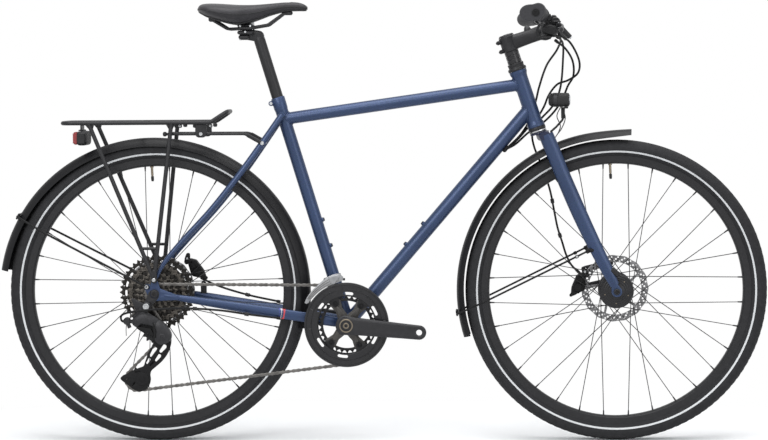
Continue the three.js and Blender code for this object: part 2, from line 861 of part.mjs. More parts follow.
function tyre() {
  const bead = rimRadius + touchGap;
  const height = tyreRadius - bead;
  const outer = tyreOuterShares.map(([up, out]) => [bead + up * height, out * tyreWidth]);
  const inner = tyreInnerShares.map(([up, out]) => [
    bead + Math.max(0, up * (height - tyreWall)), Math.max(0, out * tyreWidth - tyreWall),
  ]);
  const outline = [...outer.map(([r, y]) => [r, -y]), ...outer.slice(0, -1).reverse()];
  const hollow = [...inner, ...inner.toReversed().map(([r, y]) => [r, -y])];
  return revolve([...outline, ...hollow], wheelFacets);
}

// A box-section rim with a well between its hooks, and the valve that stands inside it
function rim() {
  const halfWidth = rimWidth / 2;
  const seat = rimRadius - rimDepth / 2;
  const profile = revolve([
    [rimRadius, -halfWidth], [seat, -halfWidth + rimWall], [seat, halfWidth - rimWall], [rimRadius, halfWidth],
    [rimInnerRadius + rimDepth / 4, halfWidth], [rimInnerRadius, 0], [rimInnerRadius + rimDepth / 4, -halfWidth],
  ], wheelFacets);
  const valveAngle = 92.5 * degree;
  const outward = point(Math.cos(valveAngle), 0, Math.sin(valveAngle));
  const foot = outward.clone().multiplyScalar(rimInnerRadius + rimDepth / 4);
  const tip = outward.clone().multiplyScalar(rimInnerRadius - valveLength);
  return join(profile, bar(foot, tip, valveRadius, 6));
}

// Crossed spokes from a flange to the rim, each one leaning to its own side
function spokes(flanges) {
  const perSide = spokeCount / 2;
  const stop = rimInnerRadius * Math.cos(Math.PI / wheelFacets) - touchGap * 2;
  const list = [];
  for (let i = 0; i < spokeCount; i++) {
    const { offset, radius } = flanges[i % 2];
    const pair = Math.floor(i / 2);
    const lean = pair % 2 === 0 ? 1 : -1;
    const rimAngle = (i + 0.5) * 2 * Math.PI / spokeCount + Math.PI / 2;
    const hubAngle = rimAngle + lean * spokeCrossings * 2 * Math.PI / perSide;
    const skew = lean * spokeRadius * 1.3;
    const from = point(radius * Math.cos(hubAngle), offset + skew, radius * Math.sin(hubAngle));
    const to = point(stop * Math.cos(rimAngle), skew, stop * Math.sin(rimAngle));
    list.push(bar(from, to, spokeRadius, 3));
  }
  return list;
}

// A brake disc: a wavy braking band on slanted arms
function rotor(offset) {
  const waves = 8;
  const facets = 24;
  const edge = new THREE.Shape(Array.from({ length: facets }, (_, i) => {
    const angle = i * 2 * Math.PI / facets;
    const radius = rotorRadius - rotorWaveDepth + rotorWaveDepth * Math.cos(waves * angle);
    return new THREE.Vector2(radius * Math.cos(angle), radius * Math.sin(angle));
  }));
  const inner = rotorRadius - rotorBand;
  const half = rotorThickness / 2;
  const band = plate(withHole(edge, inner, 12), offset - half, offset + half);
  const lean = 32 * degree;
  const root = rotorCarrier - rotorArmRadius * 2;
  const arms = Array.from({ length: rotorArms }, (_, i) => {
    const angle = i * 2 * Math.PI / rotorArms;
    const start = [root * Math.cos(angle), root * Math.sin(angle), rotorArmRadius];
    const reach = inner + rotorArmRadius;
    const end = [reach * Math.cos(angle + lean), reach * Math.sin(angle + lean), rotorArmRadius];
    return plate(hullShape([start, end], 4), offset - half, offset + half);
  });
  return [band, ...arms];
}

function hubShell(profile) {
  return revolve(profile, 12);
}

function buildFrontWheel(steering) {
  const wheel = new THREE.Group();
  wheel.position.copy(frontAxle);
  steering.add(wheel);
  const bore = axleRadius + runningGap;
  const end = frontDropoutInside - runningGap;
  const flange = frontFlangeSpread;
  // A wide dynamo hub: its right cover is a shallow dome
  const shellBody = hubShell([
    [bore, -end], [axleNutRadius, -end], [frontShellRadius * 0.6, -flange - frontFlangeWall * 2],
    [frontFlangeRadius, -flange - frontFlangeWall], [frontFlangeRadius, -flange],
    [frontShellRadius, 0], [frontFlangeRadius, flange], [frontFlangeRadius, flange + frontFlangeWall],
    [rotorSeat, frontRotorOffset - rotorThickness], [rotorCarrier, frontRotorOffset - rotorThickness / 2],
    [rotorCarrier, frontRotorOffset + rotorThickness / 2], [axleNutRadius, end], [bore, end],
  ]);
  const flanges = [
    { offset: -flange - frontFlangeWall / 2, radius: frontFlangeRadius - frontFlangeWall },
    { offset: flange + frontFlangeWall / 2, radius: frontFlangeRadius - frontFlangeWall },
  ];
  add('front_tyre', tyre(), tyreBlack, wheel);
  add('front_rim', rim(), satinBlack, wheel);
  add('front_hub', join(shellBody, ...spokes(flanges), ...rotor(frontRotorOffset)), satinBlack, wheel);
  add('front_axle', axle(frontDropoutInside + dropoutThickness), silver, wheel);
}

function buildRearWheel() {
  const wheel = groupAt(rearAxle);
  const bore = axleRadius + runningGap;
  const end = rearDropoutInside - runningGap;
  // The right end stops behind the cassette, whose own core turns on the axle
  const shellBody = hubShell([
    [bore, rearFlangeRight - rearFlangeWall], [rearFlangeRadius, rearFlangeRight - rearFlangeWall / 2],
    [rearFlangeRadius, rearFlangeRight + rearFlangeWall / 2], [rearShellRadius, rearFlangeRight + rearFlangeWall * 2],
    [rearShellRadius, rearFlangeLeft - rearFlangeWall * 2], [rearFlangeRadius, rearFlangeLeft - rearFlangeWall / 2],
    [rearFlangeRadius, rearFlangeLeft + rearFlangeWall / 2], [rotorSeat, rearRotorOffset - rotorThickness],
    [rotorCarrier, rearRotorOffset - rotorThickness / 2],
    [rotorCarrier, rearRotorOffset + rotorThickness / 2], [axleNutRadius, end], [bore, end],
  ]);
  const flanges = [
    { offset: rearFlangeRight, radius: rearFlangeRadius - rearFlangeWall },
    { offset: rearFlangeLeft, radius: rearFlangeRadius - rearFlangeWall },
  ];
  add('rear_tyre', tyre(), tyreBlack, wheel);
  add('rear_rim', rim(), satinBlack, wheel);
  add('rear_hub', join(shellBody, ...spokes(flanges), ...rotor(rearRotorOffset)), satinBlack, wheel);
  add('rear_axle', axle(rearDropoutInside + dropoutThickness), silver, wheel);
  add('cassette', cassette(), darkSteel, wheel);
}

const cogBoreShare = 0.88;
const cogNoseShare = 1.4;
const middleCogFacets = 16;

// Sprockets on one core, smallest outside. Those in the middle are plain discs.
function cassette() {
  const discs = cogTeeth.map((teeth, i) => {
    const middle = firstCogOffset + i * cogSpacing;
    const hasTeeth = i < 2 || i === cogTeeth.length - 1;
    const outline = hasTeeth ? toothShape(teeth, true) : circleShape(pitchRadius(teeth), middleCogFacets);
    const shape = withHole(outline, cogCoreRadius * cogBoreShare, 6);
    return plate(shape, middle - cogThickness / 2, middle + cogThickness / 2);
  });
  const lastCog = firstCogOffset + (cogTeeth.length - 1) * cogSpacing;
  const bore = axleRadius + runningGap;
  const core = revolve([
    [bore, -rearDropoutInside + runningGap * 2], [axleNutRadius * cogNoseShare, -rearDropoutInside + runningGap * 2],
    [cogCoreRadius, firstCogOffset - cogThickness], [cogCoreRadius, lastCog + cogThickness],
    [bore, lastCog + cogThickness],
  ], tubeFacets);
  return join(core, ...discs);
}

// Crank arms, rings and guard, all in the plane of the right arm
function buildCrankset() {
  const crankset = groupAt(shell);
  crankset.rotation.y = -crankAngle;
  const armInside = -crankArmInside;
  const armOutside = armInside - crankArmThickness;
  const spiderInside = -(shellHalfWidth + shellCupWidth + runningGap);
  const spiderOutside = bigRingOffset + toothThickness / 2 + touchGap;
  const spindleEnd = armOutside + crankTipThickness / 4;

  const boss = plate(circleShape(crankBossRadius, 12), armOutside, spiderInside);
  const spider = spiderAngles.map((angle) => {
    const reach = [boltCircleRadius * Math.cos(angle), boltCircleRadius * Math.sin(angle), spiderBossRadius];
    return plate(hullShape([[0, 0, crankBossRadius * spiderRootShare], reach], 6), spiderInside, spiderOutside);
  });
  const smallBore = boltCircleRadius - spiderBossRadius;
  const smallRing = plate(withHole(toothShape(smallRingTeeth, true), smallBore, 14),
    smallRingOffset - toothThickness / 2, smallRingOffset + toothThickness / 2);
  const spindleBore = bar(point(0, armOutside - overrun, 0), point(0, overrun, 0),
    spindleRadius + touchGap);
  add('crank_right', cut(join(boss, crankArm(right), ...spider, smallRing), spindleBore,
    pedalHole(right)), crankGrey, crankset);

  const spindle = bar(point(0, crankArmInside, 0), point(0, spindleEnd, 0), spindleRadius);
  const leftBoss = plate(circleShape(crankBossRadius, 12), crankArmInside - crankTipThickness,
    crankArmInside + crankArmThickness);
  add('crank_left', cut(join(spindle, leftBoss, crankArm(left)), pedalHole(left)), crankGrey, crankset);

  const half = toothThickness / 2;
  const bigBore = boltCircleRadius - spiderBossRadius * spiderRootShare;
  const bigOutline = withHole(toothShape(bigRingTeeth, true), bigBore, 16);
  const windowRadius = (boltCircleRadius + pitchRadius(bigRingTeeth)) / 2;
  for (let i = 0; i < ringWindows; i++) {
    const angle = (i + 0.5) * 2 * Math.PI / ringWindows;
    withHole(bigOutline, ringWindowRadius, 6, windowRadius * Math.cos(angle), windowRadius * Math.sin(angle));
  }
  add('chainring_large', plate(bigOutline, bigRingOffset - half, bigRingOffset + half), darkSteel, crankset);

  // The guard stands off the ring on small bosses
  const guardInner = guardRadius - guardBand;
  const guardOutline = withHole(circleShape(guardRadius, 30), guardInner, 20);
  const guardHalf = guardThickness / 2;
  const lugRing = guardInner - guardLugRadius / 2;
  const lugs = spiderAngles.map((angle) => {
    const place = point(lugRing * Math.cos(angle), 0, lugRing * Math.sin(angle));
    return bar(point(place.x, guardOffset - guardHalf, place.z),
      point(place.x, bigRingOffset - half - touchGap, place.z), guardLugRadius, 6);
  });
  add('chain_guard', join(plate(guardOutline, guardOffset - guardHalf, guardOffset + guardHalf), ...lugs),
    mattBlack, crankset);
}

const spiderAngles = [58, 123, 234, 307].map((angle) => angle * degree);
const spiderRootShare = 0.75;
const ringWindows = 6;

// Shares of a crank arm: along it, tall, thick
const crankArmShares = [
  [0, 1.25, 1], [0.14, 1.05, 1], [0.75, 0.92, 0.85], [1, 0.98, 0.82],
];

function crankArm(side) {
  const forward = side === right ? 1 : -1;
  const rootY = crankArmInside + crankArmThickness / 2;
  const tipY = crankArmInside + crankArmThickness + crankTipThickness / 3;
  const arm = sweep(crankArmShares.map(([along]) => point(forward * along * crankLength,
    side * (rootY + along * (tipY - rootY)), 0)),
  (_, i) => [crankArmThickness / 2 * crankArmShares[i][2], crankWaistRadius * crankArmShares[i][1]], 8);
  const tip = plate(circleShape(crankTipRadius, 12, forward * crankLength),
    side * (tipY - crankTipThickness / 2), side * (tipY + crankTipThickness / 2));
  return join(arm, tip);
}

function pedalHole(side) {
  const x = side === right ? crankLength : -crankLength;
  return bar(point(x, 0, 0), point(x, side * crankArmInside * 2, 0), pedalHoleRadius, 8);
}

// The loop of the chain round ring, pulleys and sprocket, as circles with a turning sense
function chainStops() {
  const clockwise = -1;
  const counter = 1;
  return [
    { x: 0, z: shellHeight, radius: pitchRadius(bigRingTeeth), sense: clockwise, y: bigRingOffset },
    { x: -tensionPulleySetback, z: tensionPulleyHeight, radius: pitchRadius(pulleyTeeth), sense: clockwise,
      y: firstCogOffset },
    { x: -guidePulleySetback, z: guidePulleyHeight, radius: pitchRadius(pulleyTeeth), sense: counter,
      y: firstCogOffset },
    { x: rearAxle.x, z: rearAxle.z, radius: pitchRadius(cogTeeth[0]), sense: clockwise, y: firstCogOffset },
  ];
}

// The straight run between two stops touches each circle on its turning side
function tangent(from, to) {
  const dx = to.x - from.x;
  const dz = to.z - from.z;
  const offset = from.radius * from.sense - to.radius * to.sense;
  const length = Math.sqrt(dx * dx + dz * dz - offset * offset);
  const angle = Math.atan2(dz, dx) + Math.atan2(offset, length);
  const normal = angle - Math.PI / 2;
  return {
    start: { angle: normal + (from.sense > 0 ? 0 : Math.PI) },
    end: { angle: normal + (to.sense > 0 ? 0 : Math.PI) },
  };
}

function chainRoute() {
  const stops = chainStops();
  const runs = stops.map((stop, i) => tangent(stop, stops[(i + 1) % stops.length]));
  const route = [];
  stops.forEach((stop, i) => {
    const arrive = runs[(i + stops.length - 1) % stops.length].end.angle;
    const leave = runs[i].start.angle;
    const full = 2 * Math.PI;
    const sweepAngle = (((leave - arrive) * stop.sense) % full + full) % full;
    const steps = Math.ceil(sweepAngle * stop.radius / (chainPitch / 4));
    for (let k = 0; k <= steps; k++) {
      const angle = arrive + stop.sense * sweepAngle * k / steps;
      route.push(point(stop.x + stop.radius * Math.cos(angle), stop.y, stop.z + stop.radius * Math.sin(angle)));
    }
  });
  return route;
}

// Equal steps along a closed route
function evenSteps(route, count) {
  const closed = [...route, route[0]];
  const reached = [0];
  for (let i = 1; i < closed.length; i++) reached.push(reached[i - 1] + closed[i].distanceTo(closed[i - 1]));
  const total = reached.at(-1);
  let k = 1;
  return Array.from({ length: count }, (_, i) => {
    const wanted = total * i / count;
    while (reached[k] < wanted) k++;
    const share = (wanted - reached[k - 1]) / (reached[k] - reached[k - 1]);
    return closed[k - 1].clone().lerp(closed[k], share);
  });
}

// The chain: narrow and wide links in turn, pinched between their pins, with a channel for the teeth
function buildChain() {
  const route = chainRoute();
  let length = 0;
  route.forEach((p, i) => { length += p.distanceTo(route[(i + 1) % route.length]); });
  const links = 2 * Math.round(length / chainPitch / 2);
  const stations = evenSteps(route, links);
  const rings = stations.map((here, i) => {
    const before = stations[(i + stations.length - 1) % stations.length];
    const after = stations[(i + 1) % stations.length];
    const forward = after.clone().sub(before).normalize();
    const side = across.clone().addScaledVector(forward, -across.dot(forward)).normalize();
    const up = new THREE.Vector3().crossVectors(forward, side);
    const isInner = i % 2 === 1;
    const halfWidth = (isInner ? chainInnerWidth : chainWidth) / 2;
    const halfHeight = (isInner ? chainWaist : chainHeight) / 2;
    return ring(here, side, up, [[halfWidth, halfHeight], [-halfWidth, halfHeight],
      [-halfWidth, -halfHeight], [halfWidth, -halfHeight]]);
  });
  const channel = toothThickness / 2 + runningGap / 2;
  const cutters = chainStops().map((stop) => aim(revolve([
    [stop.radius - chainHeight, -channel], [stop.radius - chainHeight, channel],
    [stop.radius + chainHeight, channel], [stop.radius + chainHeight, -channel],
  ], 24), point(stop.x, stop.y, stop.z), across));
  add('chain', cut(loft(rings, true), ...cutters), chainSteel);
}

// The swinging cage: two plates joined by the pins that the pulleys turn on
function buildCage() {
  const pivot = [-cageSetback, cageHeight, cagePivotRadius];
  const guide = [-guidePulleySetback, guidePulleyHeight, guideEndRadius];
  const tension = [-tensionPulleySetback, tensionPulleyHeight, tensionEndRadius];
  const guard = [-tensionPulleySetback - pitchRadius(pulleyTeeth), tensionPulleyHeight + chainHeight, cageTipRadius];
  const outerNear = firstCogOffset - cageGap;
  const innerNear = firstCogOffset + cageGap;
  const slimEnd = [tension[0], tension[1], tension[2] * 0.8];
  const outerShape = hullShape([guide, pivot, tension]);
  const middle = [(guide[0] + tension[0]) / 2, (guide[1] + tension[1]) / 2];
  for (const share of [0.42, 0.62]) {
    const x = pivot[0] + (tension[0] - pivot[0]) * share;
    const z = pivot[1] + (tension[1] - pivot[1]) * share;
    withHole(outerShape, cageWindowRadius * share, 10, x + (middle[0] - x) / 3, z + (middle[1] - z) / 3);
  }
  const plates = [
    plate(outerShape, outerNear - cagePlate, outerNear),
    plate(hullShape([tension, guard]), outerNear - cagePlate, outerNear),
    plate(hullShape([guide, slimEnd]), innerNear, innerNear + cagePlate),
    plate(hullShape([slimEnd, guard]), innerNear, innerNear + cagePlate),
  ];
  const pins = [guide, tension].map(([x, z]) => bar(point(x, outerNear - cagePlate / 2, z),
    point(x, innerNear + cagePlate / 2, z), pulleyPinRadius, 10));
  // A stop joins the plates beyond the tension pulley's chain
  const stopReach = pitchRadius(pulleyTeeth) + chainHeight / 2 + cageStopRadius + runningGap;
  const stopX = tension[0] - Math.sqrt(stopReach ** 2 - chainHeight ** 2);
  const stopPin = bar(point(stopX, outerNear - cagePlate / 2, guard[1]),
    point(stopX, innerNear + cagePlate / 2, guard[1]), cageStopRadius, 8);
  add('derailleur_cage', join(...plates, ...pins, stopPin), satinBlack);

  for (const [name, x, z] of [['guide_pulley', guide[0], guide[1]], ['tension_pulley', tension[0], tension[1]]]) {
    const group = groupAt(point(x, firstCogOffset, z));
    const shape = withHole(toothShape(pulleyTeeth, true), pulleyPinRadius + runningGap / 2, 10);
    add(name, plate(shape, -toothThickness / 2, toothThickness / 2), mattBlack, group);
  }
}

const linkLiftShare = 1.15;

// The two ends of the derailleur's link, as circles
function derailleurLink(grow = 0) {
  return [[-linkRearSetback, cageHeight + derailleurRise * linkLiftShare, linkRearRadius + grow],
    [-linkFrontSetback, cageHeight + derailleurRise, linkFrontRadius + grow]];
}

// The fixed part of the rear derailleur: hanger bolt, linkage and the knuckle of the cage pivot
function buildRearDerailleur() {
  const near = -(rearDropoutInside + dropoutThickness + touchGap);
  const bodyDepth = derailleurDepth;
  const knuckleInside = firstCogOffset - cageGap - cagePlate - touchGap;
  const link = derailleurLink();
  const upper = [hanger().x, hanger().z, upperKnuckleRadius];
  const linkOutside = near - bodyDepth;
  const knuckleOutside = linkOutside + bodyDepth / 4;
  add('rear_derailleur', join(
    plate(hullShape([upper]), linkOutside, near),
    plate(circleShape(hangerBoltRadius, 6, hanger().x, hanger().z), linkOutside - hangerBoltRadius / 2, near),
    plate(hullShape([upper, link[0]]), linkOutside, near - bodyDepth / 3),
    plate(hullShape(link), linkOutside, near - bodyDepth / 4),
    plate(hullShape([link[1], [-cageSetback, cageHeight, lowerKnuckleRadius]]), knuckleOutside, near),
    plate(hullShape([[-cageSetback, cageHeight, lowerKnuckleRadius]]), knuckleOutside, knuckleInside),
  ), satinBlack);
}

const guideArmShare = 0.11;
const guideBridgeShare = 0.07;

// The front derailleur: a band round the seat tube and two curved plates over the big ring
function buildFrontDerailleur() {
  const from = 97 * degree;
  const to = 150 * degree;
  const reach = (guideInner + guideOuter) / 2;
  const arcShape = () => {
    const shape = new THREE.Shape();
    shape.absarc(0, shellHeight, guideOuter, from, to, false);
    shape.absarc(0, shellHeight, guideInner, to, from, true);
    return new THREE.Shape(shape.getPoints(4));
  };
  const outside = bigRingOffset - guideGap;
  const inside = bigRingOffset + guideGap;
  const onGuide = (angle) => [reach * Math.cos(angle), shellHeight + reach * Math.sin(angle)];
  const bridge = (share, size) => plate(circleShape(size, 8, ...onGuide(from + (to - from) * share)),
    outside - guideWall / 2, inside + guideWall / 2);
  const band = bar(onSeatTube(bandRise), onSeatTube(bandRise + bandHeight), seatTubeRadius + bandWall, mitreFacets);
  const armFoot = onSeatTube(bandRise + bandHeight / 2, 0, right * (seatTubeRadius + bandWall / 2));
  const [tipX, tipZ] = onGuide(from + (to - from) * guideArmShare);
  const armTip = point(tipX, inside + guideWall / 2, tipZ);
  const tube = bar(shell, onSeatTube(seatTubeLength), seatTubeRadius + touchGap, mitreFacets);
  add('front_derailleur', join(cut(join(band, bar(armFoot, armTip, guideArmRadius, 6)), tube),
    plate(arcShape(), outside - guideWall, outside), plate(arcShape(), inside, inside + guideWall),
    bridge(guideBridgeShare, guideBridgeRadius), bridge(1 - guideBridgeShare, guideTailRadius)), silver);
}

// A fender: a thin crowned strip bent round the wheel
const fenderSectionShares = [[-1, 1], [-0.78, 0.36], [0, 0], [0.78, 0.36], [1, 1]];

function fender(centre, radius, from, to, steps) {
  const half = fenderWidth / 2;
  const outerPoints = fenderSectionShares.map(([out, drop]) => [out * half, -drop * fenderDepth]);
  const innerPoints = fenderSectionShares.map(([out, drop]) => [
    out * (half - fenderWall), -drop * fenderDepth - fenderWall * (1 - drop),
  ]).reverse();
  const outline = [...outerPoints, ...innerPoints];
  const last = outline.length - 1;
  const ends = [];
  for (let k = 0; k < fenderSectionShares.length - 1; k++) {
    ends.push([k, k + 1, last - k - 1], [k, last - k - 1, last - k]);
  }
  const rings = Array.from({ length: steps + 1 }, (_, i) => {
    const angle = from + (to - from) * i / steps;
    const radial = point(Math.cos(angle), 0, Math.sin(angle));
    return ring(centre.clone().addScaledVector(radial, radius), across, radial, outline);
  });
  return loft(rings, false, ends);
}

const rearFenderSteps = 22;
const rearStayStep = 19;

function buildRearFender() {
  const centre = point(rearAxle.x - rearFenderSetback, 0, rearAxle.z - rearFenderSink);
  const strip = fender(centre, rearFenderRadius, rearFenderStart, rearFenderEnd, rearFenderSteps);
  add('rear_fender', strip, satinBlack);

  // A wire stay from the lower screws, passing over the back of the fender
  const step = (rearFenderEnd - rearFenderStart) / rearFenderSteps;
  const bracketAngle = rearFenderStart + step * (rearStayStep + 1 / 2);
  const bracketReach = rearFenderRadius * Math.cos(step / 2) + fenderStayRadius * Math.SQRT1_2 + touchGap;
  const behind = centre.clone().add(point(bracketReach * Math.cos(bracketAngle), 0,
    bracketReach * Math.sin(bracketAngle)));
  const screw = lowerScrew();
  const out = rearDropoutInside + dropoutThickness + touchGap + fenderStayRadius;
  const bendShare = 0.78;
  const kneeShare = 0.8;
  const halfSpan = fenderWidth / 2 + fenderStayRadius;
  const legs = (side) => {
    const foot = point(screw.x, side * out, screw.z);
    const knee = foot.clone().lerp(behind, bendShare);
    knee.y = side * out * kneeShare;
    return [foot, knee, point(behind.x, side * halfSpan, behind.z)];
  };
  const path = [...legs(right), ...legs(left).reverse()];
  const wire = sweep(rounded(path, fenderStayRadius * 4, 2), () => [fenderStayRadius, fenderStayRadius], 4,
    point(-Math.sin(bracketAngle), 0, Math.cos(bracketAngle)));
  add('rear_fender_stay', wire, silver);
}

function buildRack() {
  const deck = rackDeckHeight;
  const r = rackTubeRadius;
  const hoopShare = 0.85;
  const hoopHalf = rackHalfWidth * hoopShare;
  const half = (side) => [
    point(-rackRearReach, side * rackHalfWidth, deck), point(-rackFrontReach, side * rackHalfWidth, deck),
    point(-rackHoopReach, side * hoopHalf, deck + rackHoopRise),
  ];
  const start = point(-rackRearReach, 0, deck);
  const corners = [start, ...half(right), ...half(left).reverse(), start.clone()];
  const rail = closedTube(rounded(corners, r * 5, 2).slice(1), r, 6, point(0, 0, 1));
  const slim = r * 0.8;
  const bars = Array.from({ length: rackCrossbars }, (_, i) => {
    const x = -rackRearReach + (rackRearReach - rackFrontReach) * (i + 1) / (rackCrossbars + 1);
    return bar(point(x, -rackHalfWidth, deck), point(x, rackHalfWidth, deck), slim, 6);
  });
  const rods = sides.flatMap(([, side]) => frontRod(side));
  // A bent plate under the rear rail carries the tail light
  const lightX = tailLightLength * 5 / 4 - rackRearReach;
  const lightTop = deck - r - tailLightDrop;
  const lampPlate = join(
    box(lightX + rackRearReach + lampPlateLength / 2, tailLightWidth / 2, lampPlateThickness,
      point((lightX - rackRearReach) / 2, 0, deck - r + lampPlateThickness / 2)),
    box(lampPlateThickness, tailLightWidth / 2, deck - r - lightTop,
      point(lightX, 0, (deck - r + lightTop + lampPlateThickness) / 2)),
    box(lampPlateLength, tailLightWidth / 2, lampPlateThickness,
      point(lightX, 0, lightTop + lampPlateThickness / 2)),
  );
  add('rack_platform', join(rail, ...bars, ...rods, lampPlate), satinBlack);

  for (const [name, side] of sides) {
    const top = (x) => point(-x, side * rackHalfWidth, deck);
    const foot = point(stayFoot().x, side * (rearDropoutInside + dropoutThickness + rackLegOut - r), stayFoot().z + r);
    const footPlate = plate(hullShape([[foot.x, foot.z, r * 1.6], [foot.x, foot.z + r * 4, r]]),
      side * (rearDropoutInside + dropoutThickness + touchGap), foot.y + side * r);
    const legs = [rackRearLegReach, rackFrontLegReach].map((x) => bar(foot.clone(), top(x), r, 6));
    const share = 0.2;
    const brace = bar(foot.clone().lerp(top(rackRearLegReach), share),
      foot.clone().lerp(top(rackFrontLegReach), share), r * 0.7, 6);
    const rails = bar(point(-rackRearReach - overrun, side * rackHalfWidth, deck),
      point(-rackHoopReach, side * rackHalfWidth, deck), (r + touchGap * 2) / Math.cos(Math.PI / 8), 8);
    add(`rack_legs_${name}`, cut(join(...legs, brace, footPlate), rails), satinBlack);
  }

  // The tail light hangs below the plate
  const housing = sweep([0, 0.12, 0.88, 1].map((share) => point(lightX,
    (share - 0.5) * tailLightWidth, lightTop - touchGap - tailLightHeight / 2)), (share, i) => {
    const size = i === 0 || i === 3 ? 0.7 : 1;
    return [tailLightLength / 2 * size, tailLightHeight / 2 * size];
  }, 10, point(1, 0, 0));
  add('tail_light', housing, lampRed);
}

// A rod that ties the deck to a boss on the seatstay
function frontRod(side) {
  const out = rackHalfWidth - rackTubeRadius * 2;
  const r = rackRodRadius;
  const rod = bentTube([point(-rackRodStart, side * out, rackRodHeight), point(-rackRodKnee, side * out, rackRodHeight),
    point(-rackRodEnd, side * out, rackRodHeight - rackRodDrop)], r, r * 6, 6);
  const clamp = box(rackClampLength, rackTubeRadius * 3, rackDeckHeight - rackRodHeight + r,
    point(-rackClampReach, side * (rackHalfWidth + out) / 2, (rackDeckHeight + rackRodHeight) / 2));
  return [rod, clamp];
}

function buildSeat() {
  const insertEnd = onSeatTube(seatTubeLength - seatPostInsert);
  const top = postTop;
  const head = onSeatTube(seatTubeLength + seatPostExposed, -saddleClampBehind);
  const railZ = saddleCrownHeight - railBelowCrown;
  const yokeEnds = [
    [top.x, top.z, seatPostRadius], [head.x, railZ - seatClampHeight / 2, seatClampHeight / 2],
  ];
  const yoke = plate(hullShape(yokeEnds), -seatPostRadius, seatPostRadius);
  const clampBar = box(seatClampLength, (saddleRailSpread + saddleRailRadius * 2) * 2, seatClampHeight / 2,
    point(head.x, 0, railZ - saddleRailRadius - touchGap - seatClampHeight / 4));
  add('seat_post', join(bar(insertEnd, top, seatPostRadius, mitreFacets), yoke, clampBar), satinBlack);

  const rail = (side) => {
    const at = (along, out, z) => point(saddleRearX + along * saddleLength, side * out * saddleRailSpread, z);
    return bentTube([
      at(0.82, -0.15, railZ + railNoseRise), at(0.78, 0.4, railZ + railNoseRise), at(0.52, 1, railZ),
      at(0.3, 1, railZ), at(0.14, 1.7, railZ + railTailRise),
    ], saddleRailRadius, saddleRailRadius * 5, 6);
  };
  add('saddle_rails', join(rail(right), rail(left)), satinBlack);
  add('saddle', saddle(), rubberBlack);
}

// Shares of the saddle from back to nose: along, half width, top below crown, side edge below crown
const saddleShares = [
  [0, 0.42, 0.3, 0.5], [0.03, 0.7, 0.1, 0.64], [0.1, 0.93, 0.05, 0.74], [0.2, 1, 0.05, 0.82],
  [0.3, 0.97, 0.07, 0.95], [0.38, 0.84, 0.08, 1], [0.47, 0.6, 0.07, 0.93], [0.56, 0.42, 0.05, 0.78],
  [0.67, 0.31, 0.03, 0.58], [0.8, 0.26, 0, 0.42], [0.91, 0.23, 0.02, 0.39], [0.97, 0.17, 0.12, 0.4],
  [1, 0.08, 0.24, 0.38],
];
const saddleUnderShare = 0.45;
const saddleDrawInShare = 0.14;

function saddle() {
  const facets = 18;
  const rings = saddleShares.map(([along, wide, top, edge]) => {
    const halfWidth = saddleWidth / 2 * wide;
    const high = saddleCrownHeight - top * saddleDepth;
    const low = saddleCrownHeight - edge * saddleDepth;
    const middle = (high + low) / 2;
    const half = (high - low) / 2;
    return Array.from({ length: facets }, (_, i) => {
      const angle = (i + 0.5) * 2 * Math.PI / facets;
      const c = Math.cos(angle);
      const s = Math.sin(angle);
      const below = s < 0;
      const y = halfWidth * Math.sign(c) * Math.abs(c) ** 0.7 * (below ? 1 - saddleDrawInShare * -s : 1);
      const reach = below ? Math.min(-s, saddleUnderShare + Math.abs(c) * 0.5) * -1 : s ** 0.8;
      return point(saddleRearX + along * saddleLength, y, middle + half * reach);
    });
  });
  return loft(rings);
}

// Shares of a fork blade from crown to axle: along it, spread, forward curve, tall, wide
const bladeShares = [
  [0, 0, 0, 1, 1], [0.25, 0.35, 0.06, 0.9, 0.92], [0.5, 0.62, 0.22, 0.8, 0.82],
  [0.72, 0.82, 0.5, 0.7, 0.72], [0.88, 0.95, 0.82, 0.62, 0.56], [0.96, 1, 1, 0.58, 0.3],
];

function dropoutCentre() {
  return frontDropoutInside + dropoutThickness / 2;
}

// The crown's block, grown by a clearance where other pieces are cut to it
function crownBlock(grow = 0) {
  return box(forkCrownDepth + grow * 2, (forkCrownHalfWidth + grow) * 2, forkCrownHeight + grow * 2,
    onSteering(forkLength - touchGap - forkCrownHeight / 2, forkCrownForward), steeringUp);
}

function forkBlade(side) {
  const top = forkLength - forkCrownHeight / 2;
  const path = bladeShares.map(([along, out, curve]) => {
    const forward = bladeTopForward + curve * (forkRake - bladeTopForward);
    return onSteering(top * (1 - along), forward,
      side * (bladeTopInset + out * (dropoutCentre() - bladeTopInset)));
  });
  const blade = sweep(path, (_, i) => [bladeWide * bladeShares[i][4], bladeTall * bladeShares[i][3]], 8);
  const end = path.at(-1);
  const tip = plate(hullShape([[frontAxle.x, frontAxle.z, dropoutRadius * 0.75], [end.x, end.z, bladeTall / 2]]),
    side * frontDropoutInside, side * (frontDropoutInside + dropoutThickness));
  const pieces = [blade, tip];
  if (side === left) pieces.push(...frontCaliperTabs());
  const hole = bar(point(frontAxle.x, 0, frontAxle.z), point(frontAxle.x, side * frontDropoutInside * 2, frontAxle.z),
    axleRadius + runningGap);
  return cut(join(...pieces), hole, crownBlock(touchGap));
}

function frontCaliperTabs() {
  return frontTabRises.map((rise) => {
    const z = frontAxle.z + frontCaliperRise + rise;
    const x = frontAxle.x - frontCaliperBack;
    const ends = [[x + frontTabStart, z, brakeTabRadius], [x + frontTabReach, z + frontTabSlope, brakeTabRadius]];
    return plate(hullShape(ends), frontDropoutInside, frontDropoutInside + dropoutThickness);
  });
}

// The lean of each caliper, with +X forward
const frontCaliperLean = point(0.35, 0, 0.94);
const rearCaliperLean = point(-0.55, 0, 0.83);

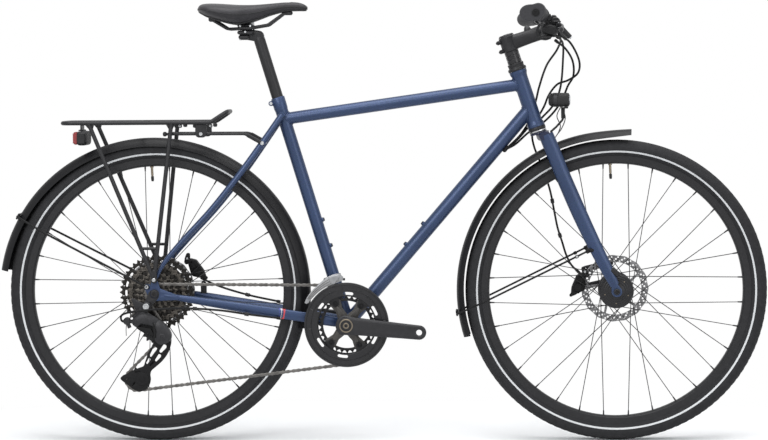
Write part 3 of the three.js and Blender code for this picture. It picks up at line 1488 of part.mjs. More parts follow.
// A brake caliper: two cheeks round the disc, joined beyond its rim
function caliper(centre, offset, outside, towards, grow) {
  const body = hullShape([-1, 1].map((end) => {
    const place = centre.clone().addScaledVector(towards, caliperHalfLength * end);
    return [place.x, place.z, caliperHalfTall + grow];
  }));
  return plate(body, offset - caliperCheek - grow, outside + grow);
}

function frontCaliperBody(grow = 0) {
  const centre = point(frontAxle.x - frontCaliperBack, 0, frontAxle.z + frontCaliperRise);
  return caliper(centre, frontRotorOffset, frontDropoutInside - touchGap, frontCaliperLean, grow);
}

function rearCaliperBody(grow = 0) {
  const centre = point(rearAxle.x + rearCaliperAhead, 0, rearAxle.z + rearCaliperRise);
  return caliper(centre, rearRotorOffset, rearTabInside - touchGap, rearCaliperLean, grow);
}

const caliperSlotHalf = rotorThickness / 2 + runningGap;

function slotFor(axlePlace, offset, half) {
  return bar(point(axlePlace.x, offset - half, axlePlace.z), point(axlePlace.x, offset + half, axlePlace.z),
    rotorRadius + runningGap * 2, 32);
}

function buildSteering() {
  const steering = new THREE.Group();
  bicycle.add(steering);

  // Steerer tube and crown in one piece, open at the top
  const crownTop = forkLength - touchGap;
  const steererTop = stemEnd + touchGap;
  const crownHalf = forkCrownHeight / 2;
  const crown = crownBlock();
  const steerer = bar(onSteering(crownTop - crownHalf), onSteering(steererTop), steererRadius, 12);
  const bore = bar(onSteering(crownTop), onSteering(steererTop + overrun), steererRadius - steererWall, 12);
  add('fork_steerer', cut(join(crown, steerer), bore), frameBlue, steering);
  for (const [name, side] of sides) {
    add(`fork_blade_${name}`, forkBlade(side), frameBlue, steering);
  }

  buildFrontWheel(steering);
  buildStem(steering);
  buildHandlebar(steering);
  buildFrontFender(steering);
  buildHeadlight(steering);
  buildFrontBrake(steering);
  buildCables(steering);
}

function barCentre() {
  return point(barClampReach, 0, barClampHeight);
}

// Stem with its spacers below and cap above, clamped on the steerer and round the handlebar
function buildStem(steering) {
  const clampBore = steererRadius + touchGap;
  const spacerRadius = stemClampRadius - spacerStep;
  const capUnder = spacerHeight + stemClampHeight + touchGap * 2;
  const capTop = spacerHeight + stemClampHeight + stemCapHeight;
  const column = aim(revolve([
    [clampBore, touchGap], [spacerRadius, touchGap], [spacerRadius, spacerHeight - spacerGroove],
    [stemClampRadius, spacerHeight + spacerGroove],
    [stemClampRadius, spacerHeight + stemClampHeight],
    [stemClampRadius * 0.8, capTop], [0, capTop],
    [0, capUnder], [clampBore, capUnder],
  ], 12), onSteering(stackStart), steeringUp);
  const root = onSteering(stemStart + stemClampHeight / 2);
  const clampRadius = barRadius + stemClampWall;
  const extension = sweep([root.clone().lerp(barCentre(), 0.1), root.clone().lerp(barCentre(), 0.5), barCentre()],
    (share) => [stemHalfWidth + share * stemFlare, stemHalfTall], 8);
  const barClamp = bar(barCentre().add(point(0, -barClampHalf, 0)), barCentre().add(point(0, barClampHalf, 0)),
    clampRadius, 12);
  const barBore = bar(barCentre().add(point(0, -barClampHalf * 2, 0)), barCentre().add(point(0, barClampHalf * 2, 0)),
    barRadius + touchGap, 10);
  const steererBore = bar(onSteering(stackStart - overrun), onSteering(stemEnd + touchGap * 2), clampBore, 12);
  add('stem', cut(join(column, extension, barClamp), barBore, steererBore), satinBlack, steering);
}

// Shares of the handlebar's half: out, rise, behind the clamp
const barShares = [
  [0, 0, 0], [0.08, 0, 0], [0.13, 0, 0], [0.24, 0.3, 0.02], [0.32, 0.62, 0.06], [0.4, 0.86, 0.15],
  [0.48, 0.94, 0.28], [1, 1, 1],
];

// A place on the handlebar by its distance out from the middle
function onBar(side, out) {
  const share = out / barHalfWidth;
  let k = 1;
  while (k < barShares.length - 1 && barShares[k][0] < share) k++;
  const [a, b] = [barShares[k - 1], barShares[k]];
  const t = (share - a[0]) / (b[0] - a[0]);
  const rise = a[1] + (b[1] - a[1]) * t;
  const behind = a[2] + (b[2] - a[2]) * t;
  return barCentre().add(point(-behind * barSweep, side * out, rise * barRise));
}

function buildHandlebar(steering) {
  const insets = barShares.slice(1).map(([out]) => out * barHalfWidth);
  insets[insets.length - 1] = barHalfWidth - plugWall;
  const path = [...insets.map((out) => onBar(right, out)).reverse(), ...insets.map((out) => onBar(left, out))];
  const thick = [0, 1];
  const bars = sweep(path, (_, i) => {
    const fromMiddle = Math.floor(Math.abs(i - (path.length - 1) / 2));
    const radius = thick.includes(fromMiddle) ? barRadius : barTubeRadius;
    return [radius, radius];
  }, 10, point(1, 0, 0));
  add('handlebar', bars, satinBlack, steering);
  for (const [name, side] of sides) {
    add(`grip_${name}`, grip(side), rubberBlack, steering);
    buildControls(name, side, steering);
  }
}

// Shares of a grip from its inner end: along it, body radius, palm wing
const gripShares = [
  [0, 0.95, 0], [0.06, 1, 0.1], [0.3, 0.95, 0.3], [0.6, 1, 0.75], [0.9, 1.06, 1], [1, 0.98, 0.9],
];
const gripWingDrop = -8 * degree;

// A grip with a flat wing behind it for the palm, widest at its outer end
function grip(side) {
  const facets = 12;
  const rings = gripShares.map(([along, body, wing]) => {
    const centre = onBar(side, barHalfWidth - gripLength * (1 - along));
    return Array.from({ length: facets }, (_, i) => {
      const angle = i * 2 * Math.PI / facets;
      const rearward = Math.max(0, -Math.cos(angle + gripWingDrop));
      const reach = gripRadius * body + gripWing * wing * rearward ** 3;
      return centre.clone().add(point(reach * Math.cos(angle), 0, reach * Math.sin(angle)));
    });
  });
  const inner = onBar(side, barHalfWidth - gripLength - overrun);
  const outer = onBar(side, barHalfWidth - plugWall + touchGap);
  return cut(loft(rings), bar(inner, outer, barBoreRadius, tubeFacets));
}

const barBoreRadius = (barTubeRadius + touchGap) / Math.cos(Math.PI / tubeFacets);

// The clamp, master cylinder and shifter housing on the bar, and the two levers that turn in them
function buildControls(name, side, steering) {
  const centre = onBar(side, controlInset);
  const ahead = onBar(side, controlInset + overrun).sub(centre).normalize();
  const ringOuter = bar(centre.clone().addScaledVector(ahead, -controlClampHalf),
    centre.clone().addScaledVector(ahead, controlClampHalf), barTubeRadius + controlClampWall, 10);
  const ringBore = bar(centre.clone().addScaledVector(ahead, -controlClampHalf * 2),
    centre.clone().addScaledVector(ahead, controlClampHalf * 2), barBoreRadius, tubeFacets);
  const bodyIn = centre.clone().add(point(cylinderAhead, -side * cylinderInside, -cylinderDrop));
  const bodyOut = centre.clone().add(point(leverPivotForward - cylinderShort, side * cylinderOut,
    cylinderOut - leverPivotDrop));
  const cylinder = bar(bodyIn, bodyOut, cylinderRadius * 0.8, 8, cylinderRadius);
  const shifterCentre = centre.clone().add(point(shifterAhead, -side * shifterInside, -shifterDrop));
  const shifter = sweep(
    [-1, -0.8, 0.8, 1].map((s) => shifterCentre.clone().add(point(0, side * s * shifterHalfWidth, 0))),
    (_, i) => {
      const isEnd = i === 0 || i === 3;
      return [shifterHalfLong * (isEnd ? 0.75 : 1), shifterHalfTall * (isEnd ? 0.7 : 1)];
    }, 8, point(1, 0, 0));
  const shifterArm = bar(centre.clone().add(point(shifterArmAhead, 0, -barTubeRadius)), shifterCentre,
    shifterArmRadius, 6);
  const leverSlot = box(cylinderRadius * 5, cylinderRadius * 5, leverBladeTall * 2 + runningGap * 2,
    leverPivot(side).add(point(leverPivotForward / 2, side * cylinderRadius * 1.6, 0)));
  add(`brake_perch_${name}`, cut(join(ringOuter, cylinder, shifter, shifterArm), ringBore, leverSlot),
    satinBlack, steering);
  add(`brake_lever_${name}`, brakeLever(side), crankGrey, steering);
  add(`shift_lever_${name}`, shiftLever(side, shifterCentre), mattBlack, steering);
}

function leverPivot(side) {
  return onBar(side, controlInset).add(point(leverPivotForward, side * leverPivotOut, -leverPivotDrop));
}

// Shares of a brake lever blade from its pivot: out along the bar, forward, drop, thickness
const leverShares = [
  [0, 0, 0, 1.1], [0.12, 0.25, 0.1, 1.1], [0.3, 0.5, 0.35, 0.9], [0.6, 0.42, 0.7, 0.85], [0.9, 0.1, 1, 0.9],
  [1, 0.2, 1.05, 1],
];

function brakeLever(side) {
  const pivot = leverPivot(side);
  const path = leverShares.map(([out, forward, drop]) => pivot.clone()
    .add(point(forward * leverBow, side * out * leverLength, -drop * leverDrop)));
  return sweep(path, (_, i) => [leverBladeThick * leverShares[i][3], leverBladeTall], 8, point(1, 0, 0));
}

// Shares of a thumb paddle's reach: behind its root, out along the bar, down
const paddleShares = [[0, 0, 0], [0.47, 0.41, 0.06], [0.88, 1, 0.09]];

// A thumb paddle under the shifter housing
function shiftLever(side, shifterCentre) {
  const flat = Math.cos(Math.PI / 8);
  const drop = (shifterHalfTall + paddleHalfTall) * flat + runningGap;
  const start = shifterCentre.clone().add(point(paddleAhead, side * paddleAhead, -drop));
  const path = paddleShares.map(([back, out, down]) => start.clone()
    .add(point(-back * paddleReach, side * out * paddleReach, -down * paddleReach)));
  return sweep(path, (share) => [paddleHalfWide * (1 - share / 3), paddleHalfTall], 8, point(1, 0, 0));
}

function buildFrontFender(steering) {
  const strip = fender(frontAxle, frontFenderRadius, frontFenderStart, frontFenderEnd, 14);
  // A strut up to the crown holds the strip
  const crownFoot = onSteering(forkLength - forkCrownHeight - touchGap, forkCrownForward);
  const outward = crownFoot.clone().sub(frontAxle).normalize();
  const strutStart = frontAxle.clone().addScaledVector(outward, frontFenderRadius - fenderWall);
  const strut = bar(strutStart, crownFoot, fenderStrutRadius, 8);
  add('front_fender', cut(join(strip, strut), crownBlock(touchGap)), satinBlack, steering);

  // A wire stay from both blades, passing over the lower end of the strip
  const r = fenderStayRadius;
  const lowAngle = 188 * degree;
  const kneeShare = 0.74;
  const drawInShare = 0.93;
  const eyeOut = frontDropoutInside + dropoutThickness + stayClipRadius + runningGap * 2;
  const behindReach = frontFenderRadius + r + touchGap;
  const behind = frontAxle.clone().add(point(behindReach * Math.cos(lowAngle), 0, behindReach * Math.sin(lowAngle)));
  const halfSpan = fenderWidth / 2 + r;
  const legs = (side) => {
    const eye = onSteering(eyeHeight, forkRake - eyeBehindAxle, side * eyeOut);
    const knee = eye.clone().lerp(behind, kneeShare);
    knee.y = eye.y * drawInShare;
    return [eye, knee, point(behind.x, side * halfSpan, behind.z)];
  };
  const path = [...legs(right), ...legs(left).reverse()];
  const wire = sweep(rounded(path, r * 4, 2), () => [r, r], 4, point(-Math.sin(lowAngle), 0, Math.cos(lowAngle)));
  const clips = sides.map(([, side]) => {
    const [eye, knee] = legs(side);
    const along = knee.clone().sub(eye).normalize();
    return bar(eye.clone().addScaledVector(along, stayClipRadius),
      eye.clone().addScaledVector(along, stayClipLength), stayClipRadius, 6);
  });
  add('front_fender_stay', join(wire, ...clips), mattBlack, steering);
}

function buildHeadlight(steering) {
  // A bent arm from the crown ends in an upright post
  const armFoot = onSteering(forkLength - forkCrownHeight / 2, forkCrownForward + forkCrownDepth / 2);
  const postHeight = headlightHeight - headlightTall / 2 - runningGap - touchGap / 2 - headlightPostFoot;
  const post = point(headlightPostX, 0, headlightPostFoot);
  const postTop = post.clone().add(point(0, 0, postHeight));
  const arm = bentTube([armFoot, armFoot.clone().lerp(post, 0.5).add(point(0, 0, -headlightArmSag)), post, postTop],
    headlightArmRadius, armBend);
  add('headlight_bracket', cut(arm, crownBlock(touchGap)), satinBlack, steering);

  const shares = [[0, 0.55, 0.6], [0.12, 0.85, 0.92], [0.55, 1, 1], [0.9, 1, 1], [1, 0.92, 0.9]];
  const body = loft(shares.map(([along, wide, tall]) => ring(
    point(headlightRearX + along * headlightLength, 0, headlightHeight), across, point(0, 0, 1),
    oval(headlightHalfWidth * wide, headlightTall / 2 * tall, 14))));
  add('headlight', body, satinBlack, steering);
}

function buildFrontBrake(steering) {
  add('front_brake_caliper', cut(frontCaliperBody(), slotFor(frontAxle, frontRotorOffset, caliperSlotHalf)),
    satinBlack, steering);
}

function buildRearBrake() {
  add('rear_brake_caliper', cut(rearCaliperBody(), slotFor(rearAxle, rearRotorOffset, caliperSlotHalf)), satinBlack);
}

// Hand-laid routes of the hoses and cable housings, from the bottom bracket, in [x, y, z] route units
const leftShiftRoute = [
  [494, 118, 962], [509, 76, 950], [500, 52, 925], [475, 42, 888], [456, 32, 834], [450, 28, 809], [437, 29, 765],
  [413, 24, 725], [377, 9, 690],
];
const rearBrakeRoute = [
  [500, -118, 958], [528, -76, 938], [550, -36, 892], [546, -20, 868], [524, -6, 852], [500, 14, 843],
  [480, 34, 818], [467, 34, 788], [448, 32, 758], [428, 28, 738], [402, 13, 710], [377, 0, 690],
];
const rightShiftRoute = [
  [492, -118, 944], [516, -84, 925], [534, -45, 895], [536, -14, 862], [524, 22, 838], [512, 37, 808],
  [494, 38, 780], [466, 35, 752], [430, 28, 728], [400, 8, 702], [377, -9, 690],
];
const frontBrakeRoute = [
  [500, 118, 958], [514, 76, 940], [514, 62, 900], [506, 52, 829], [488, 48, 790], [464, 46, 764], [446, 44, 742],
  [440, 42, 722], [444, 42, 696], [466, 46, 640], [482, 50, 590], [492, 54, 540], [500, 56, 500], [511, 56, 465],
  [520, 54, 436], [532, 50, 412], [552, 45, 392],
];
const rearBrakeTailRoute = [
  [-166, 45, 326], [-239, 60, 340], [-300, 66, 357], [-332, 60, 370], [-356, 50, 384],
];
const rearShiftTailRoute = [
  [-157, -55, 296], [-228, -65, 306], [-299, -72, 317], [-392, -81, 323], [-440, -92, 322], [-470, -98, 320],
  [-505, -98, 316], [-528, -93, 307], [-528, -86, 294], [-515, -84, 290],
];

const routeStepShare = 1.4;

function cable(route, radius = cableRadius) {
  const places = route.map((place) => point(...place).multiplyScalar(routeUnit));
  return hose(places, radius, Math.ceil(route.length * routeStepShare), 4);
}

// Three lines meet at a rubber plug where they enter the down tube
function buildCables(steering) {
  const plug = box(plugHalfLong * 2, plugHalfWide * 2, plugHalfLong, point(plugX, 0, plugHeight), downTubeUp());
  const downTube = bar(shell, onSteering(headTubeStart + downTubeRise), downTubeRadius + touchGap);
  add('control_cables', cut(join(cable(leftShiftRoute), cable(rearBrakeRoute), cable(rightShiftRoute), plug),
    downTube), mattBlack);
  add('front_brake_hose', cut(cable(frontBrakeRoute), frontCaliperBody(touchGap)), mattBlack, steering);
  add('rear_brake_hose', cut(cable(rearBrakeTailRoute), rearCaliperBody(touchGap)), mattBlack);
  const near = -(rearDropoutInside + dropoutThickness);
  add('rear_shift_housing', cut(cable(rearShiftTailRoute),
    plate(hullShape(derailleurLink(touchGap)), near - derailleurDepth, near)), mattBlack);
}

function downTubeUp() {
  const along = onSteering(headTubeStart + downTubeRise).sub(shell).normalize();
  return new THREE.Vector3().crossVectors(along, across).normalize();
}

buildFrame();
buildRearWheel();
buildCrankset();
buildChain();
buildCage();
buildRearDerailleur();
buildFrontDerailleur();
buildRearFender();
buildRack();
buildSeat();
buildRearBrake();
buildSteering();

// The origin is on the ground, midway between the rear fender's tip and the front tyre
const rearReach = rearAxle.x - rearFenderSetback + rearFenderRadius * Math.cos(rearFenderEnd);
const frontReach = frontAxle.x + tyreRadius;
bicycle.position.x = -(rearReach + frontReach) / 2;

export default bicycle;
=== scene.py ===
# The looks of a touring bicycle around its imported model. Shapes are worked out in
# millimetres: X forward from the bottom bracket, Y to the rider's left, Z up from the floor.
import math

import bmesh
import bpy
import numpy as np
from mathutils import Matrix


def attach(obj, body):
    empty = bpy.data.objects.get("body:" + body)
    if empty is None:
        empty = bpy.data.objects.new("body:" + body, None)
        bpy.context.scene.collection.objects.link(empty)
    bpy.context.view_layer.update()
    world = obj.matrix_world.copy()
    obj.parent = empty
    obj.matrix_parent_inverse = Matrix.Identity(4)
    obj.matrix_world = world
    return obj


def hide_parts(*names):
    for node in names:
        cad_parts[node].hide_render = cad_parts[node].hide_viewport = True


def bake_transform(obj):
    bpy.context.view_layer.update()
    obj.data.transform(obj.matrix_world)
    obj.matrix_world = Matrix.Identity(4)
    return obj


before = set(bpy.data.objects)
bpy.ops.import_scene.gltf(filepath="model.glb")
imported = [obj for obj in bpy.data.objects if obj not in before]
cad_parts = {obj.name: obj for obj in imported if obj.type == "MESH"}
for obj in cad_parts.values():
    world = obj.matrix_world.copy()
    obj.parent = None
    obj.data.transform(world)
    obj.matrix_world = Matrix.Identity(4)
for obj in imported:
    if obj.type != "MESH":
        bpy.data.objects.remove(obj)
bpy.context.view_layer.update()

SHIFT = -81.002  # the bottom bracket's X in the model's frame
PI = math.pi
RIGHT, LEFT = -1, 1
BOTH = (RIGHT, LEFT)
SIDES = (("right", RIGHT), ("left", LEFT))


def deg(a):
    return a * PI / 180


def vec(*p):
    return np.array(p, float)


def unit(v):
    return v / np.linalg.norm(v)


def polar(angle, radius=1.0, y=0.0):
    """A place at an angle from +X towards +Z."""
    return vec(radius * math.cos(angle), y, radius * math.sin(angle))


def tangent(angle):
    return vec(-math.sin(angle), 0, math.cos(angle))


def around(n):
    """Even angles round a circle."""
    return np.arange(n) * 2 * PI / n


def row(p):
    """A place in millimetres as metres in the model's frame."""
    return ((p[0] + SHIFT) / 1000, p[1] / 1000, p[2] / 1000)


ORIGIN = vec(0, 0, 0)
X, Y, Z = vec(1, 0, 0), vec(0, 1, 0), vec(0, 0, 1)
SHELL = vec(0, 0, 280)
REAR = vec(-451.65, 0, 356)
FRONT = vec(635.35, 0, 356)
HEAD_ANGLE, SEAT_ANGLE = deg(71.7), deg(73.1)
STEER_UP = vec(-math.cos(HEAD_ANGLE), 0, math.sin(HEAD_ANGLE))
STEER_FWD = vec(math.sin(HEAD_ANGLE), 0, math.cos(HEAD_ANGLE))
SEAT_UP = vec(-math.cos(SEAT_ANGLE), 0, math.sin(SEAT_ANGLE))
SEAT_FWD = vec(math.sin(SEAT_ANGLE), 0, math.cos(SEAT_ANGLE))
FOOT = FRONT - STEER_FWD * 55  # where the steering axis passes the front axle


def on_steer(up, fwd=0, side=0):
    return FOOT + STEER_UP * up + STEER_FWD * fwd + Y * side


def on_seat(up, fwd=0, side=0):
    return SHELL + SEAT_UP * up + SEAT_FWD * fwd + Y * side


# ---- materials
def node(tree, kind, values=(), **fields):
    """A new shader node with its fields and its inputs' values set."""
    made = tree.nodes.new("ShaderNode" + kind)
    for key, value in fields.items():
        setattr(made, key, value)
    for key, value in dict(values).items():
        made.inputs[key].default_value = value
    return made


def wire(tree, *links):
    """Links sockets, each given as a node, its output, the next node and its input."""
    for source, output, target, entry in links:
        tree.links.new(source.outputs[output], target.inputs[entry])


def look(name, color, rough=0.5, metal=0.0, vary=0.12, grain=900, bump=0.0, cells=0.0,
         coat=0.0, sheen=0.0, shine=0.5):
    """A finish whose colour, gloss and surface vary with a noise of about grain cycles a metre."""
    m = bpy.data.materials.new(name)
    m.use_nodes = True
    t = m.node_tree
    b = t.nodes["Principled BSDF"]
    for key, value in (("Metallic", metal), ("Specular IOR Level", shine), ("Coat Weight", coat),
                       ("Coat Roughness", 0.25), ("Sheen Weight", sheen)):
        b.inputs[key].default_value = value
    place = node(t, "TexCoord")
    noise = node(t, "TexNoise", {"Scale": grain / 8, "Detail": 6})
    ramp = node(t, "ValToRGB")
    for stop, at, tone in zip(ramp.color_ramp.elements, (0.3, 0.7), (1 - vary, 1 + vary)):
        stop.position = at
        stop.color = [min(1, c * tone) for c in color] + [1]
    gloss = node(t, "MapRange", {"To Min": max(0.05, rough - 0.07), "To Max": min(1, rough + 0.07)})
    wire(t, (place, "Object", noise, "Vector"), (noise, "Fac", ramp, "Fac"),
         (ramp, "Color", b, "Base Color"), (noise, "Fac", gloss, "Value"),
         (gloss, "Result", b, "Roughness"))
    if cells:
        fine = node(t, "TexVoronoi", {"Scale": cells})
        relief(m, place, fine, "Distance", bump, 0.0004)
    elif bump:
        fine = node(t, "TexNoise", {"Scale": grain, "Detail": 4})
        relief(m, place, fine, "Fac", bump, 0.0004)
    return m


def relief(m, place, fine, height, strength, distance):
    """Lifts a material's surface by a texture's height."""
    t = m.node_tree
    lift = node(t, "Bump", {"Strength": strength, "Distance": distance})
    wire(t, (place, "Object", fine, "Vector"), (fine, height, lift, "Height"),
         (lift, "Normal", t.nodes["Principled BSDF"], "Normal"))


def paint(name, color):
    """Satin metallic paint: fine flakes over a slow drift of tone."""
    m = look(name, color, rough=0.38, metal=0.45, vary=0.1, grain=60, coat=0.08)
    t = m.node_tree
    place = next(n for n in t.nodes if n.type == "TEX_COORD")
    ramp = next(n for n in t.nodes if n.type == "VALTORGB")
    flakes = node(t, "TexVoronoi", {"Scale": 2600})
    mix = node(t, "Mix", {"Factor": 0.3}, data_type="RGBA", blend_type="SOFT_LIGHT")
    relief(m, place, flakes, "Distance", 0.05, 0.0002)
    wire(t, (ramp, "Color", mix, "A"), (flakes, "Color", mix, "B"),
         (mix, "Result", t.nodes["Principled BSDF"], "Base Color"))
    return m


BLUE = paint("frame_paint", (0.02, 0.038, 0.092))
NAVY = paint("frame_paint_deep", (0.01, 0.014, 0.04))
SATIN = look("black_alloy", (0.014, 0.014, 0.0155), 0.42, 0.1, grain=700, bump=0.12, shine=0.28)
MATT = look("black_plastic", (0.014, 0.014, 0.015), 0.58, grain=1200, bump=0.25, shine=0.25)
GLOSS = look("gloss_plastic", (0.009, 0.009, 0.0105), 0.2, grain=500, bump=0.05, coat=0.12,
             shine=0.35)
FENDER = look("fender_plastic", (0.006, 0.006, 0.007), 0.4, grain=500, bump=0.06, shine=0.17)
TYRE = look("tyre_rubber", (0.018, 0.018, 0.0195), 0.8, vary=0.2, bump=0.35, shine=0.2)
STRIPE = look("reflective_line", (0.5, 0.51, 0.52), grain=400, vary=0.05)
RUBBER = look("rubber", (0.022, 0.022, 0.025), 0.66, grain=1500, bump=0.3, shine=0.3)
COVER = look("saddle_cover", (0.018, 0.017, 0.02), grain=300, cells=1500, bump=0.12, sheen=0.05,
             shine=0.3)
SILVER = look("silver_alloy", (0.45, 0.46, 0.47), 0.3, 1, vary=0.08, bump=0.06)
ALLOY = look("grey_alloy", (0.27, 0.275, 0.285), 0.4, 0.9, vary=0.1, bump=0.06)
STEEL = look("disc_steel", (0.17, 0.17, 0.175), 0.42, 0.9, grain=1400, bump=0.1)
# The two cog steels are one steel drawn darker and lighter: painted shade and painted light for
# alternate cogs, with a strong speckle as painted glints on the teeth.
COG_PAINTED_SHADE = look("dark_steel", (0.014, 0.0125, 0.011), 0.42, 0.7, grain=2600, vary=0.8, bump=0.2)
COG_PAINTED_LIT = look("painted_lit_steel", (0.075, 0.068, 0.06), 0.36, 0.85, grain=2600, vary=0.7, bump=0.2)
INK = look("ink_black", (0.006, 0.006, 0.0065), grain=1200, bump=0.2, shine=0.16)
SPIDER_GREY = look("spider_alloy", (0.06, 0.057, 0.054), 0.4, 0.6, 0.08, 800, 0.08, shine=0.3)
RING = look("ring_black", (0.013, 0.013, 0.014), 0.35, 0.3, 0.3, 260, 0.1, shine=0.3)
CHAIN = look("chain_steel", (0.12, 0.115, 0.11), 0.4, 0.9, 0.3, 400, 0.1)
CRANK = look("crank_alloy", (0.026, 0.026, 0.028), 0.42, 0.5, 0.08, 800, 0.08, shine=0.3)
BRONZE = look("bronze_ring", (0.2, 0.17, 0.13), 0.35, 0.9, grain=500)
RED = look("red_lens", (0.2, 0.01, 0.01), 0.18, grain=300, coat=0.5)
CLEAR = look("clear_lens", (0.2, 0.21, 0.23), 0.08, 0.5, grain=300, coat=0.6)
WHITE = look("white_band", (0.6, 0.6, 0.62), 0.4, grain=300, vary=0.04)
REDBAND = look("red_band", (0.4, 0.03, 0.035), 0.4, grain=300, vary=0.06)
BLUEBAND = look("blue_band", (0.06, 0.06, 0.3), 0.4, grain=300, vary=0.06)


# ---- shapes: each is (points, faces)
def join(*parts):
    points, faces, base = [], [], 0
    for p, f in parts:
        points.append(p)
        faces.extend(tuple(i + base for i in face) for face in f)
        base += len(p)
    return np.concatenate(points), faces


def make(name, shape, material, body, stands_for=(), sharp=34):
    """A mesh object from a shape in millimetres, riding a body, or left unparented when the body
    isn't a name.
    """
    points, faces = shape
    mesh = bpy.data.meshes.new(name)
    mesh.from_pydata(((points + (SHIFT, 0, 0)) / 1000).tolist(), [], faces)
    work = bmesh.new()
    work.from_mesh(mesh)
    bmesh.ops.remove_doubles(work, verts=work.verts, dist=2e-6)
    bmesh.ops.dissolve_degenerate(work, edges=work.edges, dist=1e-7)
    bmesh.ops.recalc_face_normals(work, faces=work.faces)
    work.to_mesh(mesh)
    work.free()
    mesh.shade_smooth()
    mesh.set_sharp_from_angle(angle=deg(sharp))
    mesh.materials.append(material)
    obj = bpy.data.objects.new(name, mesh)
    bpy.context.scene.collection.objects.link(obj)
    if isinstance(body, str):
        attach(obj, body)
    else:
        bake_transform(obj)
    if stands_for:
        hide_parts(*stands_for)
    return obj


def loft(rings, loop=False, caps=True):
    n, m = len(rings[0]), len(rings)
    faces = []
    for r in range(m if loop else m - 1):
        a, b = r * n, (r + 1) % m * n
        faces.extend((a + i, a + (i + 1) % n, b + (i + 1) % n, b + i) for i in range(n))
    if caps and not loop:
        faces += [tuple(reversed(range(n))), tuple((m - 1) * n + i for i in range(n))]
    return np.concatenate([np.asarray(r, float) for r in rings]), faces


def oval(wide, tall, n=24, power=2.0):
    a = (np.arange(n) + 0.5) * 2 * PI / n
    c, s = np.cos(a), np.sin(a)
    e = 2 / power
    return np.stack([wide * np.sign(c) * abs(c) ** e, tall * np.sign(s) * abs(s) ** e], 1)


def facing(centre, flat, across=X, up=Z):
    """A flat outline as a ring about a place."""
    return centre + flat[:, :1] * across + flat[:, 1:] * up


def headings(path, loop=False):
    step = np.roll(path, -1, 0) - path
    step /= np.linalg.norm(step, axis=1)[:, None] + 1e-12
    if loop:
        back = np.roll(step, 1, 0)
    else:
        step[-1] = step[-2]
        back = np.vstack([step[:1], step[:-1]])
    both = step + back
    return both / np.linalg.norm(both, axis=1)[:, None]


def sweep(path, size, n=24, side=Y, loop=False, power=2.0):
    """A solid of oval section along a path. Size is a radius, [wide, tall] or one of
    these for each point. Without a side, the section turns as little as it can."""
    path = np.asarray(path, float)
    sizes = np.broadcast_to(size, (len(path), 2))
    rings, across = [], None
    for i, (p, way) in enumerate(zip(path, headings(path, loop))):
        if side is not None:
            base = side[i] if isinstance(side, list) else side
        elif across is not None:
            base = across
        else:
            base = unit(np.cross(way, vec(0.31, 0.77, 0.56)))
        across = unit(base - way * base.dot(way))
        rings.append(facing(p, oval(*sizes[i], n, power), across, np.cross(way, across)))
    return loft(rings, loop)


def cubic(t, p1, m1, p2, m2):
    """A curve between two points with given slopes at them."""
    return ((2 * t**3 - 3 * t**2 + 1) * p1 + (t**3 - 2 * t**2 + t) * m1
            + (-2 * t**3 + 3 * t**2) * p2 + (t**3 - t**2) * m2)


def spline(points, per=8, loop=False):
    """A centripetal curve through points."""
    pts = [np.asarray(p, float) for p in points]
    n = len(pts)
    out = []
    for i in range(n if loop else n - 1):
        if loop:
            p0, p1, p2, p3 = (pts[(i + k) % n] for k in (-1, 0, 1, 2))
        else:
            p1, p2 = pts[i], pts[i + 1]
            p0 = pts[i - 1] if i else 2 * p1 - p2
            p3 = pts[i + 2] if i < n - 2 else 2 * p2 - p1
        pairs = ((p0, p1), (p1, p2), (p2, p3))
        d = [max(1e-4, np.linalg.norm(b - a) ** 0.5) for a, b in pairs]
        m1 = ((p1 - p0) / d[0] - (p2 - p0) / (d[0] + d[1]) + (p2 - p1) / d[1]) * d[1]
        m2 = ((p2 - p1) / d[1] - (p3 - p1) / (d[1] + d[2]) + (p3 - p2) / d[2]) * d[1]
        out += [cubic(k / per, p1, m1, p2, m2) for k in range(per)]
    if not loop:
        out.append(pts[-1])
    return np.array(out)


def smooth_rows(table, per=8):
    """The rows of a table, with a smooth curve laid through them."""
    rows = [np.asarray(r, float) for r in table]
    rows = [rows[0], *rows, rows[-1]]
    out = []
    for p0, p1, p2, p3 in zip(rows, rows[1:], rows[2:], rows[3:]):
        out += [cubic(k / per, p1, (p2 - p0) / 2, p2, (p3 - p1) / 2) for k in range(per)]
    out.append(rows[-1])
    return np.array(out)


def rounded(corners, radius, steps=8):
    """A line through corners, each turned into a curve."""
    corners = [np.asarray(c, float) for c in corners]
    path = [corners[0]]
    for before, at, after in zip(corners, corners[1:], corners[2:]):
        back, ahead = before - at, after - at
        half = math.acos(np.clip(unit(back).dot(unit(ahead)), -1, 1)) / 2
        shorter = min(np.linalg.norm(back), np.linalg.norm(ahead))
        reach = min(radius / math.tan(half), shorter / 2)
        a, b = at + unit(back) * reach, at + unit(ahead) * reach
        for t in (k / steps for k in range(steps + 1)):
            path.append((1 - t) ** 2 * a + 2 * t * (1 - t) * at + t * t * b)
    path.append(corners[-1])
    keep = [path[0]]
    for p in path[1:]:
        if np.linalg.norm(p - keep[-1]) > 0.3:
            keep.append(p)
    return np.array(keep)


def tube(path, radius, n=16):
    return sweep(path, radius, n, side=None)


def lathe(profile, origin=ORIGIN, way=Y, n=64):
    """Turns [radius, along] pairs round an axis. The profile closes on itself."""
    way = unit(np.asarray(way, float))
    u = unit(X - way * X.dot(way) if abs(X.dot(way)) < 0.9 else Z - way * Z.dot(way))
    w = np.cross(way, u)
    a = around(n)
    ring = np.cos(a)[:, None] * u + np.sin(a)[:, None] * w
    return loft([np.asarray(origin, float) + way * y + ring * r for r, y in profile], loop=True)


def rod(a, b, radius, n=24, end=None):
    """A round bar, with a second radius where its end is thinner or wider."""
    a, b = np.asarray(a, float), np.asarray(b, float)
    length = np.linalg.norm(b - a)
    end = radius if end is None else end
    return lathe([(0, 0), (radius, 0), (end, length), (0, length)], a, b - a, n)


def arc(radius, angles, centre=ORIGIN):
    return np.stack([centre[0] + radius * np.cos(angles), centre[2] + radius * np.sin(angles)], 1)


